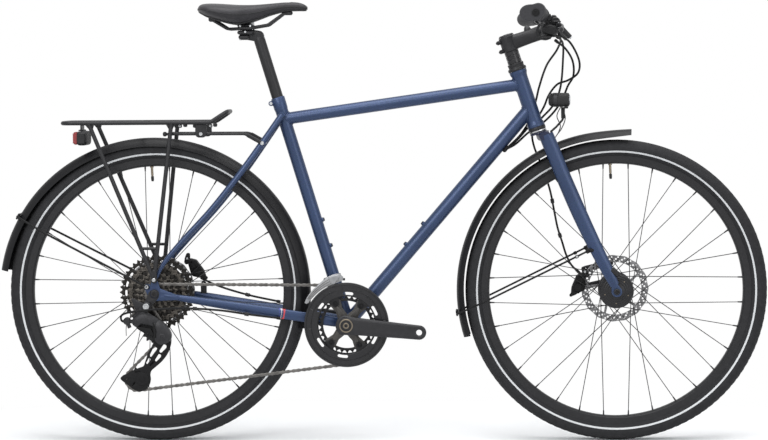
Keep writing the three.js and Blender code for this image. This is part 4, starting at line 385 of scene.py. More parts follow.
def circle(radius, n=32, centre=ORIGIN):
    return arc(radius, around(n), centre)


def hole(centre, angle, reach, radius, n):
    """A round hole at an angle and a distance from a centre."""
    return circle(radius, n, centre + polar(angle, reach))


def spot(place, radius):
    """A place and a radius as hull takes them."""
    return place[0], place[2], radius


def hull(circles, n=32):
    """The tight outline round circles, each given as (x, z, radius)."""
    pts = np.concatenate([circle(r, n, (x, 0, z)) for x, z, r in circles])
    pts = sorted(map(tuple, pts))

    def half(seq):
        out = []
        for p in seq:
            while len(out) > 1:
                (ax, az), (bx, bz) = out[-2:]
                if (bx - ax) * (p[1] - az) > (bz - az) * (p[0] - ax):
                    break
                out.pop()
            out.append(p)
        return out[:-1]
    return np.array(half(pts) + half(reversed(pts)))


def slot(r0, r1, a, b, n=10, centre=ORIGIN):
    """A curved window between two radii and two angles, with round ends."""
    mid, half, turn = (r0 + r1) / 2, abs(r1 - r0) / 2, np.linspace(0, PI, 7)[1:-1]
    return np.concatenate([
        arc(r1, np.linspace(a, b, n), centre), arc(half, b + turn, centre + polar(b, mid)),
        arc(r0, np.linspace(b, a, n), centre), arc(half, a + PI + turn, centre + polar(a, mid))])


def plate(loops, y0, y1, bevel=0.0, steps=2):
    """A plate in the XZ plane with rounded edges. After the outline, loops are holes."""
    curve = bpy.data.curves.new("plate", "CURVE")
    curve.dimensions = "2D"
    curve.fill_mode = "BOTH"
    half = abs(y1 - y0) / 2
    bevel = min(bevel, half)
    curve.extrude = half - bevel
    curve.bevel_depth = bevel
    curve.bevel_resolution = steps
    curve.offset = -bevel
    for loop in loops:
        s = curve.splines.new("POLY")
        s.points.add(len(loop) - 1)
        s.points.foreach_set("co", np.c_[loop, np.zeros(len(loop)), np.ones(len(loop))].ravel())
        s.use_cyclic_u = True
    obj = bpy.data.objects.new("plate", curve)
    bpy.context.scene.collection.objects.link(obj)
    mesh = bpy.data.meshes.new_from_object(
        obj.evaluated_get(bpy.context.evaluated_depsgraph_get()))
    p = np.zeros(len(mesh.vertices) * 3)
    mesh.vertices.foreach_get("co", p)
    x, z, y = p.reshape(-1, 3).T
    faces = [tuple(f.vertices) for f in mesh.polygons]
    bpy.data.objects.remove(obj)
    bpy.data.curves.remove(curve)
    bpy.data.meshes.remove(mesh)
    return np.stack([x, (y0 + y1) / 2 - y, z], 1), faces


def lump(circles, y0, y1, bevel, steps=2):
    """A plate round circles."""
    return plate([hull(circles)], y0, y1, bevel, steps)


def bolt(origin, way, radius=4, height=3, n=20):
    """A socket-head screw."""
    return lathe([(0, height * 0.35), (radius * 0.45, height * 0.35), (radius * 0.5, height),
                  (radius * 0.85, height), (radius, height * 0.75), (radius, -1), (0, -1)],
                 origin, way, n)


def block(centre, size, ahead=X, up=Z, bevel=1.5):
    """A box with bevelled edges."""
    ahead = unit(np.asarray(ahead, float))
    up = unit(np.asarray(up, float) - ahead * np.dot(up, ahead))
    side = np.cross(up, ahead)
    a, b, c = (s / 2 for s in size)
    e = min(bevel, a, b, c)
    outline = np.array([(-a + e, -b), (a - e, -b), (a, -b + e), (a, b - e),
                        (a - e, b), (-a + e, b), (-a, b - e), (-a, -b + e)])
    rings = []
    for h, k in ((-c, e), (-c + e, 0), (c - e, 0), (c, e)):
        flat = outline * ((a - k) / a, (b - k) / b)
        rings.append(facing(np.asarray(centre, float) + up * h, flat, ahead, side))
    return loft(rings)


# ---- frame
REAR_INSIDE, FRONT_INSIDE, THICK = 67.5, 50, 7  # the dropouts' inner faces and thickness
REAR_OUT, FRONT_OUT = REAR_INSIDE + THICK, FRONT_INSIDE + THICK
DROP_MIDDLE = REAR_INSIDE + THICK / 2
STAY_FOOT = REAR + vec(0.3, 0, 29)
LOW_SCREW = REAR + vec(-18, 0, 17)
HANGER = REAR + vec(-18, 0, -28)
HEAD_LOW = on_steer(425.5)
TOP_RADIUS, DOWN_RADIUS, SEAT_RADIUS, HEAD_RADIUS, SHELL_RADIUS = 14.3, 16, 15.15, 18, 20.5
DOWN_END = on_steer(471.5)
DOWN_WAY = unit(DOWN_END - SHELL)
BOSS = [(2, 0), (5.4, 0), (5, 3.4), (4.4, 4), (2, 4)]
# Chainstays: share of the length, of the way out, and the section's height and width
CHAINSTAY = np.array([
    (0.03, 0, 1, 0.9), (0.1, 0.2, 1, 0.8), (0.16, 0.25, 1, 0.68), (0.24, 0.34, 1, 0.78),
    (0.44, 0.54, 1, 1), (0.72, 0.8, 0.8, 0.95), (0.88, 0.95, 0.6, 0.75), (0.95, 1, 0.5, 0.5)])
# Seatstays: share of the length, of the way out, of the bow, and the radius
SEATSTAY = np.array([
    (0, 0, 0, 1), (0.14, 0.2, -0.3, 1), (0.34, 0.5, -0.55, 1), (0.56, 0.68, -0.35, 0.95),
    (0.76, 0.82, 0.5, 0.9), (0.9, 0.95, 0.8, 0.72), (1, 1, 0, 0.45)])
STAY_WIDE, STAY_TALL, SEATSTAY_RADIUS = 7.4, 12, 7.6
BRIDGE_AT = 10  # the seatstays' row that the bridge joins


def weld(at, way, radius, axis, other, size=2.1, n=84):
    """The rippled bead where a tube leaves the axis of another one."""
    way, axis = unit(way), unit(axis)
    u = unit(np.cross(way, axis))
    w = np.cross(way, u)
    q = way - axis * way.dot(axis)
    ring, sides = [], []
    for t in around(n):
        out = u * math.cos(t) + w * math.sin(t)
        p = out * radius
        p = p - axis * p.dot(axis)
        a, b, c = q.dot(q), 2 * p.dot(q), p.dot(p) - other**2
        reach = (-b + math.sqrt(max(0, b * b - 4 * a * c))) / (2 * a)
        ring.append(at + out * radius + way * reach)
        sides.append(out)
    ripple = 0.88 + 0.12 * np.cos(np.arange(n) * 2 * PI / 3)
    return sweep(ring, size * ripple[:, None], 8, side=sides, loop=True)


def build_tubes():
    make("head_tube_paint", lathe([
        (15, 0), (20.2, 0), (20.7, 0.6), (20.7, 6), (20.2, 8), (18.6, 12), (18, 17), (18, 123),
        (18.6, 128), (20.2, 132), (20.7, 134), (20.7, 139.4), (20.2, 140), (15, 140)],
        HEAD_LOW, STEER_UP, 72), BLUE, "frame", ["head_tube"])
    make("headset_race", lathe([
        (15, -12.2), (19.4, -12.2), (20.3, -11.4), (20.3, -8.6), (19.6, -8), (15, -8)],
        HEAD_LOW, STEER_UP), SILVER, "frame")
    low = [(15, -7.8), (19.8, -7.8), (20.8, -6.6), (20.8, -1), (20.3, -0.2), (15, -0.2)]
    high = [(15, 140.2), (21.4, 140.2), (21.9, 141), (21.9, 145.6), (21.2, 146.8), (19, 147.8),
            (18.6, 149), (18.6, 153), (19.2, 154), (19, 157.4), (18.4, 158), (15, 158)]
    make("headset_cups", join(*[lathe(p, HEAD_LOW, STEER_UP) for p in (low, high)]),
         SATIN, "frame")

    start, end = on_seat(507), on_steer(531.5)
    way = unit(end - start)
    make("top_tube_paint", join(
        rod(start, end, TOP_RADIUS, 56), weld(start, way, TOP_RADIUS, SEAT_UP, SEAT_RADIUS),
        weld(end, -way, TOP_RADIUS, STEER_UP, HEAD_RADIUS)), BLUE, "frame", ["top_tube"])
    down_up = unit(np.cross(DOWN_WAY, Y))
    bosses = [(SHELL + DOWN_WAY * s + down_up * 15, down_up) for s in (232, 296)]
    make("down_tube_paint", join(
        rod(SHELL, DOWN_END, DOWN_RADIUS, 56),
        weld(DOWN_END, -DOWN_WAY, DOWN_RADIUS, STEER_UP, HEAD_RADIUS),
        weld(SHELL, DOWN_WAY, DOWN_RADIUS, Y, SHELL_RADIUS),
        *[lathe(BOSS, b, out, 24) for b, out in bosses]), BLUE, "frame", ["down_tube"])
    seat_bosses = [(on_seat(s, 14.2), SEAT_FWD) for s in (188, 252)]
    ears = on_seat(551, -18.2)
    make("seat_tube_paint", join(
        lathe([(13.8, 0), (15.15, 0), (15.15, 528), (16.2, 534), (16.4, 559), (15.9, 560),
               (13.8, 560)], SHELL, SEAT_UP, 56),
        weld(SHELL, SEAT_UP, SEAT_RADIUS, Y, SHELL_RADIUS),
        *[rod(ears + Y * s * 1, ears + Y * s * 11, 6) for s in BOTH],
        *[lathe(BOSS, b, out, 24) for b, out in seat_bosses]), BLUE, "frame", ["seat_tube"])
    make("frame_screws", join(*[bolt(b + out * 4, out, 4.2, 2.2) for b, out in
                                bosses + seat_bosses]), SATIN, "frame")
    make("binder_bolt", lathe([
        (0, -13.4), (3.6, -13.4), (4, -12.6), (4, -11), (2.6, -11), (2.6, 11), (4, 11), (4, 13),
        (0, 13)], ears, Y, 24), SILVER, "frame")


def build_bottom_bracket():
    make("bottom_shell_paint", lathe([
        (12.8, -34), (20, -34), (20.5, -33), (20.5, 33), (20, 34), (12.8, 34)], SHELL),
        BLUE, "frame", ["bottom_bracket_shell"])
    cups = []
    for side in BOTH:
        cups.append(lathe([(r, y * side) for r, y in (
            (12.7, 34.1), (18.6, 34.1), (18.6, 37), (17.4, 38), (17.4, 42), (16.4, 43),
            (12.7, 43))], SHELL, Y, 48))
        cups += [block(SHELL + polar(a, 17.6, 40 * side), (5, 4, 1.6), Y, polar(a), 0.4)
                 for a in around(12)]
    make("bottom_cups", join(*cups), SATIN, "frame")


def chainstay_at(along, out, side):
    p = SHELL + (REAR - SHELL) * along
    p[1] = side * (23.3 + out * (DROP_MIDDLE - 23))
    return p


def seatstay_at(along, out, bow, side):
    top = on_seat(518, -0.3)
    lift = unit(np.cross(Y, STAY_FOOT - top))
    p = top + (STAY_FOOT - top) * along + lift * bow * 11
    p[1] = side * (21 + out * (DROP_MIDDLE - 21))
    return p


def build_stays(name, side):
    rows = smooth_rows(CHAINSTAY, 9)
    stay = sweep([chainstay_at(r[0], r[1], side) for r in rows],
                 rows[:, [3, 2]] * (STAY_WIDE, STAY_TALL), 32)
    y0, y1 = side * REAR_INSIDE, side * REAR_OUT
    bore = circle(5.4, 28, REAR)
    # Each plate of the dropout is a little thinner than the last, so that no faces meet
    plates = [plate([hull([spot(REAR, r), spot(*end)]), bore], y0 * near, y1 * far, 1.6)
              for r, end, near, far in ((17, (STAY_FOOT, 7), 1, 1),
                                        (16.8, (chainstay_at(0.88, 0.95, 1), 5.7), 1.001, 0.9985),
                                        (16.6, (LOW_SCREW, 7), 1.002, 0.997))]
    if side == RIGHT:
        outline = hull([spot(REAR - vec(2.5, 0, 3), 13.4), spot(HANGER, 9)])
        make("derailleur_hanger", plate([outline, circle(9.6, 28, REAR)],
                                        y0 * 1.003, y1 - 0.7, 1.6), CRANK, "frame")
    else:
        posts = []
        for ahead, rise in ((54, 22), (100, 12)):
            eye = REAR + vec(ahead, 0, rise)
            posts.append(plate([hull([spot(eye, 7), spot(REAR + vec(ahead, 0, -ahead / 6), 7)]),
                                circle(2.6, 16, eye)], 59.5, REAR_INSIDE, 1.2))
        make("rear_caliper_posts", join(*posts), SATIN, "frame")
    make(f"chainstay_{name}_paint", join(stay, *plates), BLUE, "frame", [f"chainstay_{name}"])

    rows = smooth_rows(SEATSTAY, 9)
    path = [seatstay_at(*r[:3], side) for r in rows]
    parts = [sweep(path, SEATSTAY_RADIUS * rows[:, 3:], 28),
             rod(path[0] - Y * side * 14, path[0] + Y * side * 3, 8.2, 28, 7.4)]
    if side == LEFT:
        parts.append(rod(path[BRIDGE_AT], path[BRIDGE_AT] * vec(1, -1, 1), 5.6, 28))
    make(f"seatstay_{name}_paint", join(*parts), BLUE, "frame", [f"seatstay_{name}"])


def build_frame():
    build_tubes()
    build_bottom_bracket()
    for name, side in SIDES:
        build_stays(name, side)
    bands = ((0.3335, 0.008, REDBAND), (0.3465, 0.0045, WHITE), (0.3555, 0.004, BLUEBAND))
    for i, (share, half, material) in enumerate(bands):
        out, tall, wide = (np.interp(share, CHAINSTAY[:, 0], CHAINSTAY[:, k]) for k in (1, 2, 3))
        path = [chainstay_at(share + d, out + d, RIGHT) for d in (-half, half)]
        size = (STAY_WIDE * wide + 0.25, STAY_TALL * tall + 0.25)
        make(f"stay_band_{i}", sweep(path, size, 40), material, "frame")
    make("dropout_screws", join(*[bolt(LOW_SCREW + Y * s * REAR_OUT, Y * s, 5, 6.5)
                                  for s in BOTH]), SILVER, "frame")


# ---- wheels
SPOKES = 32
TYRE_OUTSIDE = [(317.3, 12.2), (321, 16.6), (325, 20), (330, 22.8), (334, 23.5), (339, 23.2),
                (344, 21.2), (348.4, 18.2), (351.6, 14), (353.8, 9), (354.8, 4.5), (355.2, 0)]
TYRE_INSIDE = [(317.3, -9), (321, -14), (334, -19), (348, -10), (350, 0),
               (348, 10), (334, 19), (321, 14), (317.3, 9)]
RIM = [(318.2, -12.5), (316, -11), (309, -9), (309, 9), (316, 11), (318.2, 12.5), (315, 12.5),
       (311, 12.3), (303.4, 12.2), (300.4, 9.5), (298.8, 5), (298.5, 0), (298.8, -5),
       (300.4, -9.5), (303.4, -12.2), (311, -12.3), (315, -12.5)]
FRONT_HUB = [
    (5.6, -49.2), (9, -49.2), (9.5, -48), (20, -46), (33, -40.5), (39, -36), (41, -32.6),
    (41, -27), (38.5, -26), (36.2, -24), (36, 0), (36.2, 24), (38.5, 26), (41, 27), (41, 32),
    (38, 34), (24, 38.5), (21, 40), (21, 43.5), (11, 46), (9.5, 49.2), (5.6, 49.2)]
REAR_HUB = [
    (5.6, -20.6), (24, -20.4), (27.4, -19.4), (28, -18.4), (28, -15.4), (27, -14.6), (20, -12),
    (17.2, -8), (17, 24), (20, 28), (27, 30.6), (28, 31.4), (28, 34.4), (27, 35.4), (21, 40),
    (19, 44), (19, 52), (11, 58), (9.5, 66.6), (5.6, 66.6)]


def tyre_section():
    half = [(p[0], p[2]) for p in spline([vec(r, 0, y) for r, y in TYRE_OUTSIDE], 4)]
    return half + [(r, -y) for r, y in reversed(half[:-1])] + TYRE_INSIDE


def tread(axle):
    """Blocks in rows round the tyre, slanted at the shoulders."""
    blocks, count = [], 120
    for y, r, lean, wide, long, low in ((19.2, 346.4, 0.95, 5, 9, -2.5),
                                        (11.6, 352.4, 0.5, 7.5, 9.5, -2.1),
                                        (3.6, 354.8, 0.14, 6, 11, -1.9)):
        for side in BOTH:
            up_side = Y * side * math.sin(lean)
            for k in range(count):
                a = (k + (0.5 if side > 0 else 0) + y / 40) * 2 * PI / count
                up = unit(polar(a) * math.cos(lean) + up_side)
                blocks.append(block(axle + polar(a) * r + Y * side * y + up * low / 2,
                                    (long, wide, 3), unit(tangent(a) + Y * 0.25 * side), up, 0.7))
    return join(*blocks)


def spokes(axle, flanges):
    """Spokes laid three-cross from two flanges, each flange as (offset, radius)."""
    parts = []
    for i in range(SPOKES):
        offset, radius = flanges[i % 2]
        lean = 1 if i // 2 % 2 == 0 else -1
        rim_angle = (i + 0.5) * 2 * PI / SPOKES + PI / 2
        hub_angle = rim_angle + lean * 3 * 2 * PI / (SPOKES / 2)
        skew = lean * 1.43
        start = axle + polar(hub_angle, radius, offset + skew)
        end = axle + polar(rim_angle, 299, skew)
        way = unit(end - start)
        head = start - Y * lean * 4
        parts += [tube([head, start - Y * lean * 1.2, start + way * 1.6, end], 1.0, 6),
                  rod(head - Y * lean * 0.8, head, 1.9, 10),
                  rod(end - way * 11, end + way * 1, 1.5, 8, 2.1)]
    return join(*parts)


def brake_disc(axle, y):
    a = around(240)
    edge = arc(79 + 0.9 * np.cos(15 * a), a, axle)
    rows = ((74.8, 2.1), (70.1, 2.3), (65.9, 1.7))
    holes = [hole(axle, t, *rows[k % 3], 10) for k, t in enumerate(around(90))]
    parts = [plate([edge, circle(63, 120, axle), *holes], y - 0.95, y + 0.95, 0.25, 1)]
    for t in around(5):
        ends = [spot(axle + polar(t, 18), 4), spot(axle + polar(t + deg(32), 64), 2.6)]
        parts.append(plate([hull(ends, 16)], y - 0.8, y + 0.8, 0.2, 1))
    middle = [circle(24, 48, axle), circle(12, 32, axle)]
    parts.append(plate(middle, y - 1.3, y + 1.3, 0.3))
    return join(*parts)


def wheel(kind, axle, hub, flanges, disc_y):
    def piece(part, shape, material, *rest):
        make(f"{kind}_{part}", shape, material, f"{kind}_wheel", *rest)
    piece("tyre_casing", lathe(tyre_section(), axle, Y, 160), TYRE, [f"{kind}_tyre"], 50)
    piece("tyre_tread", tread(axle), TYRE, (), 30)
    line = ((325.8, 20), (326, 20.95), (328, 22.15), (330, 23.1), (330.3, 22.4), (328, 21))
    piece("tyre_stripe", join(*[lathe([(r, s * y) for r, y in line], axle, Y, 160)
                                for s in BOTH]), STRIPE)
    piece("rim_ring", lathe(RIM, axle, Y, 160), SATIN, [f"{kind}_rim"])
    piece("spokes", spokes(axle, flanges), SATIN)
    out = polar(deg(92.5))
    piece("valve", join(
        lathe([(0, 0), (3, 0), (3, 24), (2.2, 25), (2.2, 27), (0, 27)], axle + out * 301, -out, 20),
        lathe([(3, 0.2), (4.6, 0.2), (4.6, 2.4), (3, 2.6)], axle + out * 298.4, -out, 20)), BRONZE)
    piece("valve_cap", lathe([(0, 0), (3.5, 0), (3.5, 8), (2.6, 12), (0, 12)],
                             axle + out * 275, -out, 20), MATT)
    piece("hub_shell", lathe(hub, axle, Y, 96), SATIN, [f"{kind}_hub"])
    piece("disc", brake_disc(axle, disc_y), STEEL)
    ring = [(6, 1), (17, 1), (17, 3.6), (14, 4.6), (6, 4.6)]
    piece("disc_lock", join(
        lathe([(r, disc_y + y) for r, y in ring], axle, Y, 48),
        *[block(axle + polar(t, 16.5, disc_y + 3), (3, 1.4, 1.8), Y, polar(t), 0.3)
          for t in around(24)]), SATIN)


def build_wheels():
    wheel("front", FRONT, FRONT_HUB, ((-29.5, 36), (29.5, 36)), 42)
    make("dynamo_rings", join(*[lathe([
        (r - 1.2, -y - 0.5), (r - 1, -y + 0.7), (r + 1, -y + 0.9), (r + 1.2, -y - 0.7)],
        FRONT, Y, 96) for r, y in ((21, 46), (26, 43.8), (31, 41.6), (36, 38.8))]),
        SATIN, "front_wheel")
    make("dynamo_studs", join(*[lathe([(0, 0), (1.6, 0), (1.4, 1.2), (0, 1.4)],
                                      FRONT + polar(t, 28.5, -42.9), -Y, 12)
                                for t in around(5) + 0.9]), BRONZE, "front_wheel")
    wheel("rear", REAR, REAR_HUB, ((-17, 24), (33, 24)), 53)
    for name, axle, out, big, body in (("rear", REAR, REAR_OUT, 9.3, "frame"),
                                       ("front", FRONT, FRONT_OUT, 7.4, "steering")):
        nut = ((0, 0.3), (big, 0.3), (big, 1.6), (big - 1.1, 1.9), (big - 1.1, 6.2),
               (big - 2.1, 7), (4, 7), (3.4, 4.4), (0, 4.4))
        make(f"{name}_axle_steel", join(
            lathe([(0, -out), (4.7, -out), (4.7, out), (0, out)], axle, Y, 32),
            *[lathe([(r, s * (out + y)) for r, y in nut], axle, Y, 36) for s in BOTH]),
            SATIN, body, [f"{name}_axle"])


# ---- fork and cockpit
# Blades: share of the length, of the way out, of the rake, and the section's two sizes
BLADE = np.array([
    (0, 0, 0.05, 1.14, 1), (0.12, 0.14, 0.13, 1.17, 0.98), (0.25, 0.35, 0.21, 1.16, 0.94),
    (0.5, 0.62, 0.42, 1.18, 0.84), (0.72, 0.82, 0.67, 1.08, 0.74), (0.88, 0.95, 0.9, 0.92, 0.58),
    (0.96, 1, 1, 0.72, 0.32)])


def blade_at(along, out, rake, side):
    aside = 42.5 + out * (FRONT_INSIDE + THICK / 2 - 42.5)
    return on_steer(402 * (1 - along), 13 + rake * 42, side * aside)


def build_fork():
    crown = []
    for s in np.linspace(-1, 1, 33):
        high = 11 - 3.2 * abs(s) ** 4
        centre = on_steer(401.7 + (11 - high) * -0.4, 8 + 3 * abs(s) ** 2, s * 54)
        crown.append(facing(centre, oval(15.7 - 3 * abs(s) ** 3, high, 32, 3),
                            STEER_FWD, STEER_UP))
    race = [(14.4, 408), (19.6, 408), (20.2, 409), (20.2, 412), (19.6, 412.7), (14.4, 412.7)]
    make("fork_crown_paint", join(loft(crown), lathe(race, FOOT, STEER_UP, 56)),
         NAVY, "steering", ["fork_steerer"], 40)
    make("steerer_tube", lathe([(11.8, 410), (14.2, 410), (14.2, 649.5), (11.8, 649.5)],
                               FOOT, STEER_UP, 40), SATIN, "steering")
    rows = smooth_rows(BLADE, 10)
    for name, side in SIDES:
        path = [blade_at(*r[:3], side) for r in rows]
        outline = hull([spot(FRONT, 12.75), spot(path[-1], 7.5)])
        make(f"fork_blade_{name}_paint", join(
            sweep(path, rows[:, [4, 3]] * (12.5, 15), 36),
            plate([outline, circle(5.4, 28, FRONT)],
                  side * FRONT_INSIDE, side * FRONT_OUT, 1.8)),
            BLUE, "steering", [f"fork_blade_{name}"])
    tabs = []
    for rise in (46, 4):
        eye = FRONT + vec(-70, 0, rise)
        outline = hull([spot(eye, 7), spot(eye + vec(60, 0, 14), 7)])
        tabs.append(plate([outline, circle(2.6, 16, eye)],
                          FRONT_INSIDE, FRONT_OUT - 0.1, 1.4))
    make("caliper_adapter", join(*tabs), SATIN, "steering")


BAR_CENTRE = vec(470.5, 0, 968)
BAR_HALF, BAR_RISE, BAR_BACK = 305, 36, 27
# The bar: share of the way out, of the rise and of the sweep
BARS = np.array([(0, 0, 0), (0.08, 0, 0), (0.13, 0, 0), (0.24, 0.3, 0.02), (0.32, 0.62, 0.06),
                 (0.4, 0.86, 0.15), (0.48, 0.94, 0.28), (1, 1, 1)])


def bar_point(share, rise, back, side=1):
    return BAR_CENTRE + vec(-back * BAR_BACK, side * share * BAR_HALF, rise * BAR_RISE)


def on_bar(side, out):
    share = out / BAR_HALF
    rise, back = (np.interp(share, BARS[:, 0], BARS[:, k]) for k in (1, 2))
    return BAR_CENTRE + vec(-back * BAR_BACK, side * out, rise * BAR_RISE)


def build_stem():
    spacer = ((14.6, 0), (16.6, 0), (17, 0.5), (17, 9.1), (16.6, 9.6), (14.6, 9.6))
    make("stem_spacers", join(*[lathe([(r, 583.8 + k * 10 + y) for r, y in spacer],
                                      FOOT, STEER_UP, 56) for k in range(3)]), GLOSS, "steering")
    clamp = lathe([(14.6, 613.7), (18.4, 613.7), (19.4, 614.8), (19.5, 620), (19.2, 631),
                   (19.5, 643), (19.4, 648.4), (18.4, 649.4), (14.6, 649.4)], FOOT, STEER_UP)
    root = on_steer(631.5)
    way = unit(BAR_CENTRE - root)
    up = unit(np.cross(way, Y))
    shares = smooth_rows([(0.08, 15.5, 18.4, 4), (0.3, 15, 17.2, 3), (0.62, 15, 16.6, 3),
                          (0.86, 19.5, 17, 3.5), (1, 22, 17, 4)])
    arm = loft([facing(root + (BAR_CENTRE - root) * s, oval(wide, tall, 40, power), Y, up)
                for s, wide, tall, power in shares])
    bar_clamp = lathe([(16.1, -23), (21.2, -23), (21.9, -22), (21.9, 22), (21.2, 23),
                       (16.1, 23)], BAR_CENTRE, Y, 72)
    gap = block(BAR_CENTRE + way * 12, (26, 40, 3), way, up, 1)
    pinch = [block(on_steer(z, -21), (15, 24, 9.5), STEER_FWD, STEER_UP, 3.4) for z in (619, 641)]
    knob = lathe([(0, 12), (9, 12), (8.4, 18), (6.4, 23.4), (3.6, 25.8), (0, 26.2)],
                 BAR_CENTRE - way * 38, up, 28)
    make("stem_body", join(clamp, arm, bar_clamp, gap, *pinch, knob), SATIN, "steering", ["stem"])
    bolts = [bolt(on_steer(z, -23, RIGHT * 12), -Y, 3.2, 1.6) for z in (619, 641)]
    bolts += [bolt(BAR_CENTRE + way * 15.5 + up * 17.5 * k + Y * 14 * s, way, 3.4, 4)
              for k in (-1, 1) for s in BOTH]
    bolts.append(lathe([(0, 652), (3.4, 652), (3.8, 655), (6, 655), (6.6, 653.6), (6.6, 650),
                        (0, 650)], FOOT, STEER_UP, 32))
    make("stem_bolts", join(*bolts), MATT, "steering")
    make("stem_cap", lathe([
        (0, 649.8), (18.2, 649.8), (18, 651.6), (15.6, 654.2), (8, 654.6), (7.4, 653.4),
        (0, 653.4)], FOOT, STEER_UP, 56), SATIN, "steering")


def build_cockpit():
    build_stem()
    half = [bar_point(*r) for r in smooth_rows(BARS[1:])]
    half[-1] = on_bar(1, 300)
    path = np.array([p * vec(1, -1, 1) for p in reversed(half)] + half)
    middle = np.clip((62 - abs(path[:, 1])) / 22, 0, 1) ** 0.8  # one at the thick middle
    make("handlebar_tube", sweep(path, (11.1 + 4.8 * middle)[:, None], 36, side=X),
         SATIN, "steering", ["handlebar"])
    for name, side in SIDES:
        build_grip(name, side)
        build_controls(name, side)


# Grips: share of the length, of the body and of the palm wing
GRIPS = [(0, 0.95, 0), (0.06, 1, 0.1), (0.3, 0.95, 0.3), (0.6, 1, 0.75), (0.9, 1.06, 1),
         (1, 0.98, 0.9)]
GRIP_END, GRIP_LENGTH, GRIP_RADIUS = 303.6, 126.6, 16.6
# Brake levers: share of the length, of the reach ahead, of the drop, and the thickness
LEVERS = [(0, 0, 0, 1.1), (0.12, 0.25, 0.1, 1.1), (0.3, 0.5, 0.35, 0.9), (0.6, 0.42, 0.7, 0.85),
          (0.9, 0.1, 1, 0.9), (1, 0.2, 1.05, 1)]


def build_grip(name, side):
    a = around(64)
    rear = np.maximum(0, -np.cos(a - deg(2)))
    front = np.maximum(0, np.cos(a - deg(50)))
    rings = []
    for i, (along, body, wing) in enumerate(smooth_rows(GRIPS)):
        centre = on_bar(side, GRIP_END - GRIP_LENGTH * (1 - along))
        ribbed = i % 4 < 2 and 0.08 < along < 0.95
        reach = (GRIP_RADIUS * body - (0.5 * (1 - rear) if ribbed else 0)
                 + (20 * rear ** 2.4 + 6 * front ** 2) * wing)
        rings.append(facing(centre, arc(reach, a)))
    start, end = on_bar(side, 177), on_bar(side, BAR_HALF)
    rings = [start + (rings[0] - start) * 0.8, *rings]
    make(f"grip_{name}_rubber", loft(rings), RUBBER, "steering", [f"grip_{name}"], 46)
    make(f"grip_{name}_collar", join(
        lathe([(11.3, 0), (16.6, 0), (17, 1), (17, 7), (16.4, 8), (11.3, 8)],
              on_bar(side, 177.3), Y * side, 40),
        lathe([(8, 0), (10, 0), (9.4, 1.2), (8, 1.4)], end - Y * side * 1.8, Y * side, 32)),
        SATIN, "steering")
    make(f"grip_{name}_plug", lathe([(0, 0), (8, 0), (7.4, 1), (3, 1.2), (2.6, 0.6), (0, 0.6)],
                                    end - Y * side * 1.5, Y * side, 32), INK, "steering")


